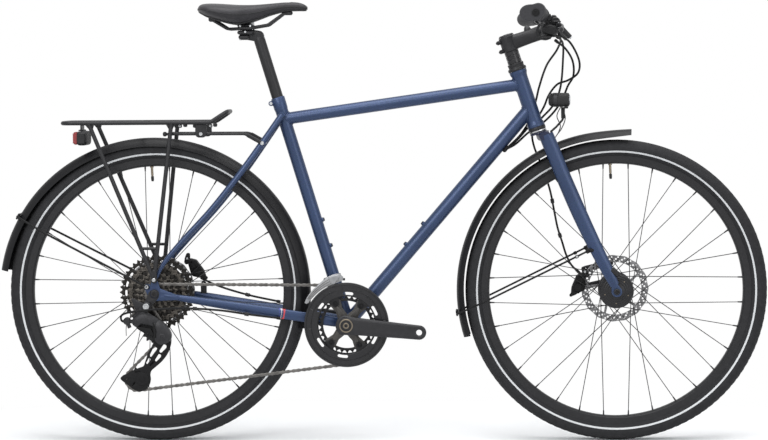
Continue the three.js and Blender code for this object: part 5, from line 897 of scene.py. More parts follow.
def build_controls(name, side):
    """The brake perch, its lever, the shifter and its lever at one side."""
    def beside(x, y, z):
        return vec(x, side * y, z)

    def shell(middle, sections, n):
        return loft([facing(middle + Y * side * y, oval(wide, tall, n, power))
                     for y, wide, tall, power in sections])
    centre = on_bar(side, 160)
    start, end = centre + beside(26, -34, -12), centre + beside(30, 8, -16)
    length = np.linalg.norm(end - start)
    cylinder = lathe([(0, 0), (5, 0), (6.4, 1.4), (6.8, 8), (8.6, 10), (9, 30), (10.4, 34),
                      (10.5, length - 1.5), (9, length), (0, length)], start, end - start, 40)
    reservoir = shell(centre + vec(24, 0, -8), [(-30, 5, 4, 3), (-28, 7.4, 6, 3), (0, 9, 7.6, 3),
                                                (3, 6.5, 5.5, 3)], 24)
    band = lathe([(11.3, -10), (15, -10), (15.6, -9), (15.6, 9), (15, 10), (11.3, 10)],
                 centre, on_bar(side, 170) - centre, 48)
    pivot = centre + beside(36, 12, -24)
    boot_a, boot_b = beside(497, 148, 979), beside(525, 141, 951)
    lumps = [block(centre + beside(15, s, -6), (9, 4, 16), X, Z, 1.4) for s in (-7, 7)]
    lumps += [rod(boot_a, boot_b, 7, 28, 5.4), block(boot_a, (16, 20, 12), X, Z, 3)]
    lumps += [block(pivot + beside(-4, -3, s * 8.2), (20, 16, 3.4), X, Z, 1.2) for s in (-1, 1)]
    lumps.append(block(centre + beside(30, 3, -18), (16, 14, 11), X, Z, 2.5))
    make(f"brake_perch_{name}_body", join(cylinder, reservoir, band, *lumps), SATIN, "steering",
         [f"brake_perch_{name}"])
    shifter = centre + beside(16, -2, -34)
    make(f"shifter_{name}_body", join(
        shell(shifter, [(-20, 14, 7, 2.6), (-18.5, 17, 9.5, 2.6), (-16, 19, 11.4, 2.6),
                        (8, 20, 12, 2.8), (16, 19, 11.4, 2.6), (18.8, 17, 9.5, 2.6),
                        (20, 14, 7.5, 2.6)], 36),
        block(shifter + beside(-4, -3, 11), (20, 24, 3), X, Z, 1.2),
        sweep([centre + vec(8, 0, -11), centre + vec(13, 0, -20), shifter], (7, 6), 20, power=3)),
        MATT, "steering")
    make(f"control_bolts_{name}", join(
        bolt(centre + vec(19, 0, -2), X, 3.2, 2.6),
        lathe([(0, -8), (2.6, -8), (3.2, -7), (3.2, 7), (2.6, 8), (0, 8)], pivot, Z, 20),
        bolt(shifter + vec(0, 0, -11), -Z, 3, 1.8), bolt(shifter + beside(15, -14, 8), Z, 2.4, 1.4),
        rod(boot_b, boot_b + unit(boot_b - boot_a) * 3.4, 3.4, 20)), SILVER, "steering")

    rows = smooth_rows(LEVERS)
    path = [pivot + beside(r[1] * 16, r[0] * 118, -r[2] * 12) for r in rows]
    size = np.c_[4 * rows[:, 3], np.full(len(rows), 5.2)]
    make(f"lever_{name}_blade", join(
        sweep(path, size, 28, side=X, power=2.6),
        lathe([(0, -5.2), (4.6, -5.2), (6.6, -3.6), (6.6, 3.6), (4.6, 5.2), (0, 5.2)],
              pivot, Z, 32),
        lathe([(0, -6), (4.4, -5), (5.8, 0), (4.4, 5), (0, 6)], path[-1] - Y * side * 3, Y, 28)),
        SATIN, f"brake_lever_{name}", [f"brake_lever_{name}"])
    # The shift lever starts where its solid does, just under the shifter
    start = shifter + beside(5, 5, -(12 + 2.6) * math.cos(PI / 8) - 0.6)
    rows = smooth_rows([(0, 0, 0), (0.47, 0.41, 0.06), (0.88, 1, 0.09)])
    path = [start + beside(-r[0] * 34, r[1] * 34, -r[2] * 34) for r in rows]
    wide = 9 * (1 - np.linspace(0, 1, len(path)) / 3)
    size = np.c_[wide, np.full(len(path), 2.3)]
    make(f"paddle_{name}_body", sweep(path, size, 28, side=X, power=3), MATT,
         f"shift_lever_{name}", [f"shift_lever_{name}"])


# ---- saddle and post
# Sections: share of the length, of the width, and of the depth to the crown and to the edge
SADDLE = [(0, 0.42, 0.22, 0.36), (0.03, 0.7, 0.08, 0.48), (0.1, 0.93, 0.04, 0.66),
          (0.2, 1, 0.05, 0.82), (0.3, 0.97, 0.08, 0.95), (0.38, 0.84, 0.1, 0.97),
          (0.47, 0.6, 0.1, 0.88), (0.56, 0.42, 0.08, 0.74), (0.67, 0.31, 0.04, 0.55),
          (0.8, 0.26, 0, 0.4), (0.91, 0.23, 0.02, 0.37), (0.97, 0.17, 0.1, 0.36),
          (1, 0.08, 0.2, 0.33)]
CROWN, SADDLE_BACK, SADDLE_LENGTH, SADDLE_HALF, SADDLE_DEEP = 1041.25, -346.98, 257, 81, 58
RAIL_Z = CROWN - 62


def saddle_ring(along, wide, top, edge, n=72):
    """One section across the saddle."""
    high, low = CROWN - top * SADDLE_DEEP, CROWN - edge * SADDLE_DEEP
    middle, half = (high + low) / 2, (high - low) / 2
    a = (np.arange(n) + 0.5) * 2 * PI / n
    c, s = np.cos(a), np.sin(a)
    below = s < 0
    y = SADDLE_HALF * wide * np.sign(c) * abs(c) ** 0.7 * np.where(below, 1 + 0.14 * s, 1)
    dish = 1 - 0.1 * np.exp(-(y / 12) ** 2) * (0.1 < along < 0.85) * np.where(below, 0, 1)
    reach = np.where(below, -np.minimum(-s, 0.45 + abs(c) * 0.5), np.clip(s, 0, 1) ** 0.8 * dish)
    x = np.full(n, SADDLE_BACK + along * SADDLE_LENGTH)
    return np.stack([x, y, middle + half * reach], 1)


def build_saddle():
    rings = [saddle_ring(*r) for r in smooth_rows(SADDLE, 7)]
    cover = make("saddle_cover", loft(rings), COVER, "seat", ["saddle"], 50)
    seams = [tube(np.array([r[k] for r in rings[1:-1]]) - Z * 1.5, 1.1, 8) for k in (0, 35)]
    base = []
    for low in rings[2:-3]:
        flat = np.c_[oval(abs(low[:, 1]).max() * 0.72, 3, 24, 4)[:, 0],
                     oval(1, 2.4, 24, 4)[:, 1] - 0.6]
        base.append(facing(vec(low[0][0], 0, low[:, 2].min()), flat, Y, Z))
    make("saddle_base", join(loft(base), *seams), MATT, "seat")

    def rail_at(along, out, z):
        return vec(SADDLE_BACK + along * SADDLE_LENGTH, out * 22, RAIL_Z + z)
    rails = [block(rail_at(0.82, 0, 36), (22, 18, 10), X, Z, 3)]
    for s in BOTH:
        line = [rail_at(a, s * out, z) for a, out, z in (
            (0.82, 0.15, 36), (0.79, 0.4, 36), (0.64, 0.9, 8), (0.47, 1, 1), (0.27, 1, -1),
            (0.14, 1.7, 20))]
        rails.append(tube(rounded(line, 15), 3.5, 20))
        rails.append(block(rail_at(0.135, s * 1.72, 22), (16, 14, 12), X, Z, 3))
    make("saddle_rail_wires", join(*rails), SATIN, "seat", ["saddle_rails"])


def build_post():
    top, head = on_seat(712), on_seat(712, -30)[0]

    def place(x, y, z):
        return vec(head + x, y, RAIL_Z + z)
    post = lathe([(11.4, 450), (13.4, 450), (13.6, 451), (13.6, 700), (13, 708), (11, 712),
                  (0, 713), (0, 452)], SHELL, SEAT_UP)
    neck = lump([spot(top, 13.4), spot(place(0, 0, -13), 13)], -12, 12, 4, 3)
    jaws = [block(place(*p), size, X, up, bevel) for p, size, up, bevel in (
        ((0, 0, -9.4), (38, 51, 9), Z, 2.6), ((0, 0, 6.4), (38, 51, 6), Z, 2.6),
        ((0, -22, 1), (36, 9.5, 9), Z, 2.4), ((0, 22, 1), (36, 9.5, 9), Z, 2.4),
        ((-1, 0, 14), (27, 42, 10), Z, 3), ((-4, 0, -20), (26, 38, 13), (0.25, 0, 1), 4))]
    make("post_and_clamp", join(post, neck, *jaws), SATIN, "seat", ["seat_post"])
    screws = []
    for x in (-14, 14):
        screws.append(lathe([(0, -27), (3, -27), (3, -24), (2.4, -24), (2.4, 10), (4.2, 10),
                             (4.4, 13), (0, 13)], place(x, 0, 0), Z, 24))
        screws.append(lathe([(0, -5.6), (5.2, -5.6), (5.2, 5.6), (0, 5.6)],
                            place(x, 0, 11), Y, 24))
    screws += [bolt(place(x, -25.6, z), -Y, 2.6, 1.4) for x, z in ((-12, 6), (0, -8), (12, 6))]
    make("clamp_screws", join(*screws), SILVER, "seat")


# ---- fenders
def strip(centre, radius, start, stop, steps, deep, flare=0):
    """A folded fender about a wheel. A flare lifts the end where it starts."""
    n = 25
    u = np.linspace(-1, 1, n)
    drop = abs(u) ** 2.5
    fold = 0.7 * np.exp(-((abs(u) - 0.62) / 0.05) ** 2)
    rings = []
    for t in np.linspace(start, stop, steps):
        out = polar(t)
        tip = max(0, 1 - (t - start) / deg(13)) ** 2 * flare
        high, fall = radius + tip, deep - tip * 0.6
        outside = np.stack([u * 27, high - drop * fall + fold * 0.6 - 0.6], 1)
        inside = np.stack([u * 25.4, high - drop * fall - 2.2 * (1 - drop)], 1)[::-1]
        rings.append(facing(centre, np.vstack([outside, inside]), Y, out))
    points, faces = loft(rings, caps=False)
    m = 2 * n
    last = (len(rings) - 1) * m
    for k in range(n - 1):
        end = (k, k + 1, m - 2 - k, m - 1 - k)
        faces += [end, tuple(last + i for i in reversed(end))]
    return points, faces


def stay_pads(behind, angle, length):
    return join(*[block(behind + Y * y, (length, 11, 5), tangent(angle), polar(angle), 1.6)
                  for y in (-15, 15)])


def build_rear_fender():
    centre = REAR + vec(-9, 0, -6)
    start, stop, radius, facets = deg(-13), deg(170.8), 373.5, 22
    make("rear_fender_strip", strip(centre, radius, start, stop, 160, 20.5), FENDER, "frame",
         ["rear_fender"], 40)
    # The stay goes round behind the solid's facet that it stands on
    step = (stop - start) / facets
    angle = start + step * 19.5
    reach = radius * math.cos(step / 2) + 2 * math.sqrt(0.5) + 0.3
    behind = centre + polar(angle) * (reach + 0.4)
    out = REAR_OUT + 2.3

    def legs(side):
        foot = LOW_SCREW + Y * side * out
        knee = foot + (behind - foot) * 0.78
        knee[1] = side * out * 0.8
        return [foot, knee, behind + Y * side * 29]
    eye = [(2.4, -1.6), (6, -1.6), (6, 1.6), (2.4, 1.6)]
    make("rear_stay_wire", join(
        tube(rounded(legs(-1) + legs(1)[::-1], 9, 10), 2.6, 14),
        *[lathe(eye, LOW_SCREW + Y * s * (out + 0.4), Y, 28) for s in BOTH]),
        INK, "frame", ["rear_fender_stay"])
    make("rear_stay_pads", stay_pads(behind - polar(angle) * 0.4, angle, 16), MATT, "frame")


def build_front_fender():
    foot = FRONT + unit(on_steer(390.7, 8) - FRONT) * 375
    make("front_fender_strip", join(
        strip(FRONT, 377, deg(84.4), deg(197.2), 110, 17, 5.5),
        rod(foot, on_steer(390.4, 8), 6, 28)), FENDER, "steering", ["front_fender"], 40)
    angle = deg(188)
    behind = FRONT + polar(angle) * 379.5

    def legs(side, lower=0):
        eye = vec(574 - lower * 0.5, side * 61, 458 - lower)
        knee = eye + (behind - eye) * 0.8 - Z * lower * 0.5
        knee[1] = eye[1] * 0.95
        return [eye, knee, behind + Y * side * 29 - Z * lower * 0.5]
    wire = tube(rounded(legs(-1, 3) + legs(1, 3)[::-1], 9, 10), 2.3, 14)
    clips, screws = [], []
    for side in BOTH:
        eye, knee, _ = legs(side)
        way = unit(knee - eye)
        eye = eye - vec(1.8, 0, 3.5)
        clips += [block(eye + way * 4, (13, 5, 10), way, Z, 2),
                  block(eye + way * 34, (9, 5.6, 8), way, Z, 2),
                  rod(eye + way * 3, vec(588, side * 52, 456), 4.5)]
        screws.append(bolt(eye + way * 34 + Y * side * 2.8, Y * side, 2.6, 1.2))
    make("front_stay_wire", join(wire, *clips), INK, "steering", ["front_fender_stay"])
    make("front_stay_screws", join(*screws), SILVER, "steering")
    make("front_stay_pads", stay_pads(behind, angle, 14), MATT, "steering")


# ---- rack and lamps
DECK, DECK_REAR, DECK_FRONT, DECK_HALF = 759, -670, -317, 58
LAMP_TOP, LAMP_X = 740, -630


def build_deck():
    """The deck, its side rods, and its screws, which the caller makes."""
    turn = [(DECK_REAR, DECK_HALF, DECK), (DECK_FRONT, DECK_HALF, DECK), (-279, 49.3, DECK + 25)]
    start = vec(DECK_REAR, 0, DECK)
    corners = [start, *[vec(x, -y, z) for x, y, z in turn], *turn[::-1], start]
    parts = [sweep(rounded(corners, 25, 10)[:-1], 5, 18, side=Z, loop=True)]
    for i in range(1, 4):
        x = DECK_REAR + 357 * i / 4
        parts.append(rod((x, -DECK_HALF, DECK), (x, DECK_HALF, DECK), 4, 20))
        parts += [weld(vec(x, s * DECK_HALF, DECK), Y * -s, 4, X, 5, 1.1, 40) for s in BOTH]
    screws = []
    for s in BOTH:
        path = rounded([vec(x, s * 48, z) for x, z in ((-428, 732), (-236, 731.5), (-194, 708))],
                       24)
        share = np.linspace(0, 1, len(path))[:, None]
        parts += [sweep(path, np.where(share < 0.86, (3.4, 3.4), (2.4, 4.6)), 18),
                  lump([(-350, 754, 3), (-330, 754, 3), (-344, 733, 9.5), (-336, 733, 9.5)],
                       s * 50.5, s * 56, 1.6),
                  block((-426, s * 48, 732), (9, 11, 11), X, Z, 2.4)]
        parts += [block((x, s * 50, 751), (10, 7, 9), X, Z, 2) for x in (-318, -354, -390)]
        screws += [bolt(vec(x, s * y, z), Y * s, radius, height) for x, y, z, radius, height in (
            (-340, 56, 732, 4.4, 2.6), (-196, 50.4, 709, 4.4, 3), (-318, 52, 751, 3, 2),
            (-390, 52, 751, 3, 2))]
    parts += [block((-652, 0, 755.5), (46, 42, 3), X, Z, 1),
              block((LAMP_X, 0, 748), (3, 42, 17), X, Z, 1),
              block((LAMP_X, 0, 741.5), (12, 42, 3), X, Z, 1)]
    make("rack_deck_tubes", join(*parts), SATIN, "frame", ["rack_platform"])
    return screws


def build_rack():
    screws = build_deck()
    for name, s in SIDES:
        foot = STAY_FOOT + vec(0, s * 81.5, 5)
        rear, front = (vec(x, s * DECK_HALF, DECK - 1) for x in (-605, -409))
        parts = [rod(foot, rear, 5), rod(foot, front, 5),
                 rod(foot + (rear - foot) * 0.2, foot + (front - foot) * 0.2, 3.5, 20),
                 plate([hull([spot(foot, 8), spot(foot + Z * 20, 5)]),
                        circle(2.8, 20, foot)], s * 74.8, s * 86.5, 3)]
        for top, way in ((rear, 1), (front, -1)):
            lean = unit(foot - top)
            x, z = top[0], top[2]
            gusset = [(x - way * 9, z - 3), (x + way * 13, z - 3),
                      (x + lean[0] * 17 + way * 3, z + lean[2] * 17),
                      (x + lean[0] * 15 - way * 3, z + lean[2] * 17)]
            parts.append(plate([np.array(gusset)], s * 56.6, s * 59.4, 0.5))
            parts.append(weld(foot + (top - foot) * 0.995, foot - top, 5, X, 5, 1.3, 40))
        make(f"rack_legs_{name}_tubes", join(*parts), SATIN, "frame", [f"rack_legs_{name}"])
        screws.append(bolt(vec(foot[0], s * 86.4, foot[2]), Y * s, 4.6, 3))
    make("rack_screws", join(*screws), SILVER, "frame")


def build_tail_light():
    middle = LAMP_TOP - 0.3 - 17

    def shell(x, wide, tall, n, power, sections):
        return loft([facing(vec(x, (share - 0.5) * 84, middle),
                            oval(wide * size, tall * size, n, power)) for share, size in sections])
    make("tail_lamp_case", shell(LAMP_X + 3.4, 12.6, 17, 40, 4, (
        (0, 0.66), (0.03, 0.8), (0.1, 0.96), (0.16, 1), (0.84, 1), (0.9, 0.96), (0.97, 0.8),
        (1, 0.66))), MATT, "frame", ["tail_light"])
    lens = shell(LAMP_X - 11.4, 6.4, 16.4, 32, 3.4, (
        (0.06, 0.76), (0.1, 0.88), (0.16, 0.93), (0.84, 0.93), (0.9, 0.88), (0.94, 0.76)))
    ribs = [block((LAMP_X - 17.5, y, middle), (1.6, 1.2, 24), X, Z, 0.4)
            for y in np.linspace(-28, 28, 15)]
    make("tail_lamp_lens", join(lens, *ribs), RED, "frame")


def build_headlight():
    tilt_x, beam_z = 512, 806  # where it tilts, and the middle of its case
    foot, post = on_steer(402, 23.7), vec(tilt_x, 0, 760)
    arm = rounded([foot, (foot + post) / 2 - Z * 2, post, vec(tilt_x, 0, 788.6)], 12)
    make("headlight_arm", join(
        tube(arm, 2.6, 20),
        lathe([(0, 0), (7.5, 0), (7.5, 3), (6, 4), (0, 4)], foot - STEER_FWD * 3, STEER_FWD, 32),
        *[block((tilt_x, s * 5, 785.2), (9, 3, 7), X, Z, 1) for s in BOTH],
        rod((tilt_x, 0, 762), (tilt_x, 0, 786), 4.4, 24, 4.8)), SATIN, "steering",
        ["headlight_bracket"])
    make("headlight_screws", bolt(foot + STEER_FWD * 1 + STEER_UP * 0.01, STEER_FWD, 4.4, 2.4),
         SILVER, "steering")

    def shell(sections, n, power):
        return loft([facing(vec(x, 0, beam_z), oval(wide, tall, n, power), Y, Z)
                     for x, wide, tall in sections])
    case = [(478 + along * 48, 30 * wide, 16.4 * tall) for along, wide, tall in (
        (0, 0.5, 0.52), (0.04, 0.72, 0.78), (0.12, 0.86, 0.93), (0.3, 0.95, 0.985), (0.55, 1, 1),
        (0.9, 1, 1), (0.97, 0.985, 0.97), (1, 0.94, 0.92))]
    fins = [block((485 + k * 5, 0, beam_z), (1.6, 55 + k * 0.8, 31.4 + k * 0.3), X, Z, 3)
            for k in range(4)]
    make("headlight_case", join(shell(case, 56, 3.6), *fins,
                                block((519, -24, 788.2), (9, 9, 5), X, Z, 1.4)),
         MATT, "headlight", ["headlight"])
    make("headlight_band", shell([(489, 28.6, 16.3), (489.4, 28.9, 16.6), (497.6, 29.9, 16.75),
                                  (498, 29.6, 16.5)], 56, 3.6), CRANK, "headlight")
    make("headlight_glass", shell([(519, 26.5, 13.6), (526.2, 26.5, 13.6), (528, 25.6, 12.8),
                                   (529, 20, 9)], 48, 3.2), CLEAR, "headlight")


# ---- cables and brakes
LEFT_SHIFT = [
    (494, 118, 962), (509, 76, 950), (500, 52, 925), (475, 42, 888), (456, 32, 834),
    (450, 28, 809), (437, 29, 765), (413, 24, 725), (377, 9, 690)]
REAR_BRAKE = [
    (500, -118, 958), (528, -76, 938), (550, -36, 892), (546, -20, 868), (524, -6, 852),
    (500, 14, 843), (480, 34, 818), (467, 34, 788), (448, 32, 758), (428, 28, 738),
    (402, 13, 710), (377, 0, 690)]
RIGHT_SHIFT = [
    (492, -118, 944), (516, -84, 925), (534, -45, 895), (536, -14, 862), (524, 22, 838),
    (512, 37, 808), (494, 38, 780), (466, 35, 752), (430, 28, 728), (400, 8, 702), (377, -9, 690)]
FRONT_BRAKE = [
    (500, 118, 958), (514, 76, 940), (514, 62, 900), (506, 52, 829), (488, 48, 790),
    (464, 46, 764), (446, 44, 742), (440, 42, 722), (444, 42, 696), (466, 46, 640),
    (482, 50, 590), (492, 54, 540), (500, 56, 500), (511, 56, 465), (520, 54, 436),
    (532, 50, 412), (552, 45, 392)]
REAR_HOSE = [(-166, 45, 326), (-239, 60, 340), (-300, 66, 357), (-332, 60, 370), (-356, 50, 384)]
REAR_HOUSING = [
    (-157, -55, 296), (-228, -65, 306), (-299, -72, 317), (-392, -81, 323), (-440, -92, 322),
    (-470, -98, 320), (-505, -98, 316), (-528, -93, 307), (-528, -86, 294), (-515, -84, 290)]
LAMP_WIRE = [
    (509, -6, 790), (517, -10, 764), (508, -8, 738), (496, -16, 722), (484, -28, 700),
    (494, -30, 672), (508, -31, 630), (536, -35, 560), (566, -40, 500), (592, -46, 446),
    (612, -52, 414), (624, -55, 408)]
LAMP_WIRE_BACK = [(507, 6, 790), (498, 10, 768), (506, 9, 744), (500, 4, 726)]
# Two places given with the cable loops' bodies, from the plug on the down tube to above the
# headlight
BEND = (row((392, 0, 700)), row((462, 0, 808)))


def hose(route, radius=2.5, n=14):
    return tube(spline(route, 10), radius, n)


def ferrule(route, length=13, radius=3.7):
    """The sleeve over the start of a route."""
    start, after = vec(*route[0]), vec(*route[1])
    thin = radius * 0.82
    return lathe([(0, -0.5), (radius, -0.5), (radius, length * 0.7), (thin, length * 0.75),
                  (thin, length), (0, length)], start, after - start, 24)


def clips(route, places):
    line = spline(route, 10)
    return [lathe([(2.5, -5), (4.4, -5), (4.4, 5), (2.5, 5)], line[i], line[i + 1] - line[i], 24)
            for i in places]


def build_cables():
    loops = (LEFT_SHIFT, REAR_BRAKE, RIGHT_SHIFT)
    plug = block((377, 0, 691), (18, 26, 9), DOWN_WAY, np.cross(DOWN_WAY, Y), 3)
    make("control_cable_loops", join(*[hose(r) for r in loops], plug,
                                     *[ferrule(r) for r in loops]),
         INK, ("frame", "steering", *BEND), ["control_cables"])
    for name, route, far, near, body, tag in (
            ("front_hose_run", FRONT_BRAKE, 16, 13, "steering", "front_brake_hose"),
            ("rear_hose_run", REAR_HOSE, 14, 9, "frame", "rear_brake_hose"),
            ("rear_housing_run", REAR_HOUSING, 12, 9, "frame", "rear_shift_housing")):
        make(name, join(hose(route), ferrule(route[::-1], far), ferrule(route, near)),
             INK, body, [tag])
    make("frame_clips", join(*clips(REAR_HOUSING, (11, 26)), *clips(REAR_HOSE, (11,))),
         MATT, "frame")
    make("fork_clips", join(*clips(FRONT_BRAKE, (105, 125))), MATT, "steering")
    make("lamp_wire", join(
        hose(LAMP_WIRE, 1.2, 8), block((632, -55, 402), (24, 12, 13), (1, 0, -0.9), Z, 3),
        hose(LAMP_WIRE_BACK, 1.2, 8)), MATT, "steering")


def caliper(name, centre, axle, disc_y, outside, lean, body, tag):
    """A flat-mount caliper over a disc, its long side along lean."""
    lean = unit(lean)
    out = unit(np.cross(lean, Y))
    if np.dot(out, centre - axle) < 0:
        out = -out

    def place(along, away, y=0.0):
        return centre + lean * along + out * away + Y * (y - centre[1])

    def shape(*circles):
        return [spot(place(along, away), radius) for along, away, radius in circles]
    body_shape = shape((20, 2, 7), (12, 8, 8), (-14, 5, 12), (-26, 8, 6), (-8, -4, 10))
    parts = [lump(body_shape, disc_y - 12.6, disc_y - 1.7, 3.4, 3),
             lump(body_shape, disc_y + 1.7, outside, 3, 3),
             lump(shape((24, -6, 6), (36, 6, 5), (30, 0, 6.5)), disc_y - 11, disc_y - 3, 2),
             lump(shape((-24, 6, 6.5), (-34, 12, 3.4)), disc_y - 12, disc_y - 3, 2),
             block(place(0, 11, disc_y), (34, 12, 9), lean, out, 2.5)]
    parts += [lathe([(0, 0), (r, 0), (r, 2), (r - 1.4, 3), (0, 3)],
                    place(k, 3, disc_y - 15.4), Y, 32) for k, r in ((-10, 9), (8, 6))]
    parts += [block(place(t, 4, disc_y - 13.2), (2.4, 3, 18), lean, out, 0.8)
              for t in (-22, -17, -3, 1)]
    make(name, join(*parts), INK, body, [tag])
    screws = [bolt(place(*at, disc_y - 11), -Y, 2.8, 1.6) for at in ((30, 0), (17, 4))]
    screws += [bolt(place(*at, outside), Y, 3.6, 2.6) for at in ((20, 2), (-14, 5))]
    make(name + "_screws", join(*screws), SILVER, body)


def build_brakes():
    caliper("front_caliper_body", FRONT + vec(-82, 0, 12), FRONT, 42, 49.7, vec(0.35, 0, 0.94),
            "steering", "front_brake_caliper")
    caliper("rear_caliper_body", REAR + vec(80, 0, 50), REAR, 53, 59.2, vec(-0.55, 0, 0.83),
            "frame", "rear_brake_caliper")


# ---- drive
BIG_Y, SMALL_Y, COG_Y = -50, -44, -60  # the planes of the two rings and the smallest cog
COG_STEP, CRANK_LENGTH = 4.35, 172.5
TURN = deg(5.3)  # the cranks' angle at rest
PITCH = 12.7
COGS = [11, 13, 15, 18, 21, 24, 28, 34, 43]
BIG_TEETH, SMALL_TEETH, PULLEY_TEETH = 46, 32, 13
GUIDE, TENSION = vec(-457, 0, 268), vec(-497.8, 0, 152.1)
SPIDER = [deg(a) for a in (58, 123, 234, 307)]
WINDOWS = [deg(a) for a in (32, 92, 151, 219, 268, 338)]


def pitch_radius(teeth):
    return PITCH / (2 * math.sin(PI / teeth))


# One tooth: share of the pitch, and the distance past the pitch circle
TOOTH = [(0, -3), (0.14, -2.4), (0.3, 0.2), (0.41, 2.32), (0.46, 2.9), (0.54, 2.9),
         (0.59, 2.32), (0.7, 0.2), (0.86, -2.4)]


def teeth_outline(teeth, centre=ORIGIN):
    share, reach = np.tile(TOOTH, (teeth, 1)).T
    start = np.repeat(around(teeth), len(TOOTH))
    return arc(pitch_radius(teeth) + reach, start + share * 2 * PI / teeth, centre)


def build_cassette():
    cogs = []
    for i, teeth in enumerate(COGS):
        y, r, turn = COG_Y + i * COG_STEP, pitch_radius(teeth), i * 0.35
        loops = [teeth_outline(teeth, REAR), circle(14.6, 32, REAR)]
        if teeth > 26:
            count = teeth // 2
            wide = 2 * PI / count * 0.42
            loops += [slot(r - 15.4, r - 10.2, a, a + wide, 6, REAR) for a in around(count) + turn]
            loops += [hole(REAR, (k + 0.5) * 2 * PI / teeth + 0.1, r - 6.2, 1.3, 8)
                      for k in range(1, teeth, 2)]
        elif teeth > 16:
            loops += [hole(REAR, a, r - 8.6, 2.1, 12) for a in around(9) + turn]
        cogs.append(plate(loops, y - 0.8, y + 0.8, 0.22, 1))
    core = lathe([(14, -63), (15.6, -63), (16.5, -61.6), (16.5, -25), (14, -25)], REAR, Y, 56)
    # Alternate cogs take a darker and a lighter copy of one steel: painted shade and painted light
    # that set each cog apart from the next.
    make("cassette_cogs", join(*cogs[::2], core), COG_PAINTED_SHADE, "cassette", ["cassette"], 30)
    make("cassette_cogs_painted_lit", join(*cogs[1::2]), COG_PAINTED_LIT, "cassette", sharp=30)
    ring = [(10.5, -66), (14.6, -66), (15.4, -65), (15.4, -62.6), (10.5, -62.6)]
    make("cassette_lock", join(lathe(ring, REAR, Y, 56), *[
        block(REAR + polar(t, 12.6, -65.4), (2.2, 1.6, 1.4), Y, polar(t), 0.3)
        for t in around(12)]), CHAIN, "cassette")


def crank_arm(side):
    """An arm with a pedal eye, leaning out towards its tip."""
    xs = np.linspace(0, CRANK_LENGTH, 22)
    half = np.interp(xs, [0, 24, 130, CRANK_LENGTH], [22.4, 20.6, 17.6, 16.8])
    top = np.stack([xs, half], 1)[:-1]
    outline = np.concatenate([
        top, arc(16.8, np.linspace(deg(88), deg(-88), 22), X * CRANK_LENGTH),
        (top * (1, -1))[::-1], arc(25, np.linspace(deg(-112), deg(-248), 24))])
    points, faces = plate([outline, circle(6.9, 32, X * CRANK_LENGTH)], 62, 76, 3.6, 4)
    lean = np.clip(points[:, 0] / CRANK_LENGTH, 0, 1)
    points[:, 1] = 69 + (points[:, 1] - 69) * (1 - 0.12 * lean) + lean * 12
    flip = vec(1, -1, 1) if side == RIGHT else vec(-1, 1, 1)
    return points * flip, [face[::-1] for face in faces]


def inner_edge(wide, narrow):
    """The inside of a chainring, drawn in to the four mounting holes."""
    a = np.linspace(0, 2 * PI, 240, endpoint=False)
    off = np.min([abs((a - b + PI) % (2 * PI) - PI) for b in SPIDER], 0)
    t = np.clip((off - 0.13) / 0.1, 0, 1)
    return arc(narrow + (wide - narrow) * (3 * t * t - 2 * t**3), a)


def crank_part(name, parts, material, *rest):
    """Makes a piece drawn about the crank's axis, turned to the cranks' angle."""
    points, faces = join(*parts)
    c, s = math.cos(TURN), math.sin(TURN)
    x, y, z = points.T
    points = SHELL + np.stack([x * c + z * s, y, z * c - x * s], 1)
    make(name, (points, faces), material, "crankset", *rest)


def build_cranks():
    crank_part("crank_right_arm", [crank_arm(RIGHT), lathe([
        (12.4, -76), (20.6, -76), (21.4, -75), (21.4, -45), (12.4, -45)], n=72)],
        CRANK, ["crank_right"], 38)
    spider = []
    for a in SPIDER:
        way, ends = polar(a), [polar(a) * 58 + tangent(a) * w for w in (-7, 7)]
        spider += [lump([(0, 0, 16), spot(way * 44, 8)], -48.7, -43.8, 1.4),
                   lump([*[spot(e, 7) for e in ends], spot(way * 40, 9)], -48.6, -45.2, 1.2),
                   lump([spot(way * 8, 12), spot(way * 44, 5)], -52, -46, 2.4, 3)]
    crank_part("crank_spider", spider, SPIDER_GREY, (), 38)
    small = [teeth_outline(SMALL_TEETH), inner_edge(56, 49.5)]
    crank_part("ring_small", [plate(small, SMALL_Y - 1, SMALL_Y + 1, 0.3, 1)], RING, (), 30)
    crank_part("crank_left_arm", [
        crank_arm(LEFT), lathe([(0, -73), (11.6, -73), (11.6, 76), (0, 76)], n=40),
        lathe([(8, 51), (20.6, 51), (21.4, 52), (21.4, 75), (20.6, 76), (8, 76)], n=72)],
        CRANK, ["crank_left"], 38)
    crank_part("crank_ring", [
        lathe([(13.4, -76), (16, -76), (16, -78.6), (15.6, -79), (13.4, -79)], n=56),
        lathe([(4.4, -76), (7.4, -76), (7.4, -79), (7, -79.4), (4.4, -79.4)], n=8)], BRONZE)
    crank_part("crank_bolt", [
        lathe([(0, -75.4), (4.2, -75.4), (4.2, -78), (13, -78), (13.2, -77.6), (13.2, -74),
               (0, -74)], n=48),
        lathe([(7, -80.6), (8.6, -80.6), (8.6, -80), (7, -80)], X * CRANK_LENGTH, Y, 32)], SATIN)


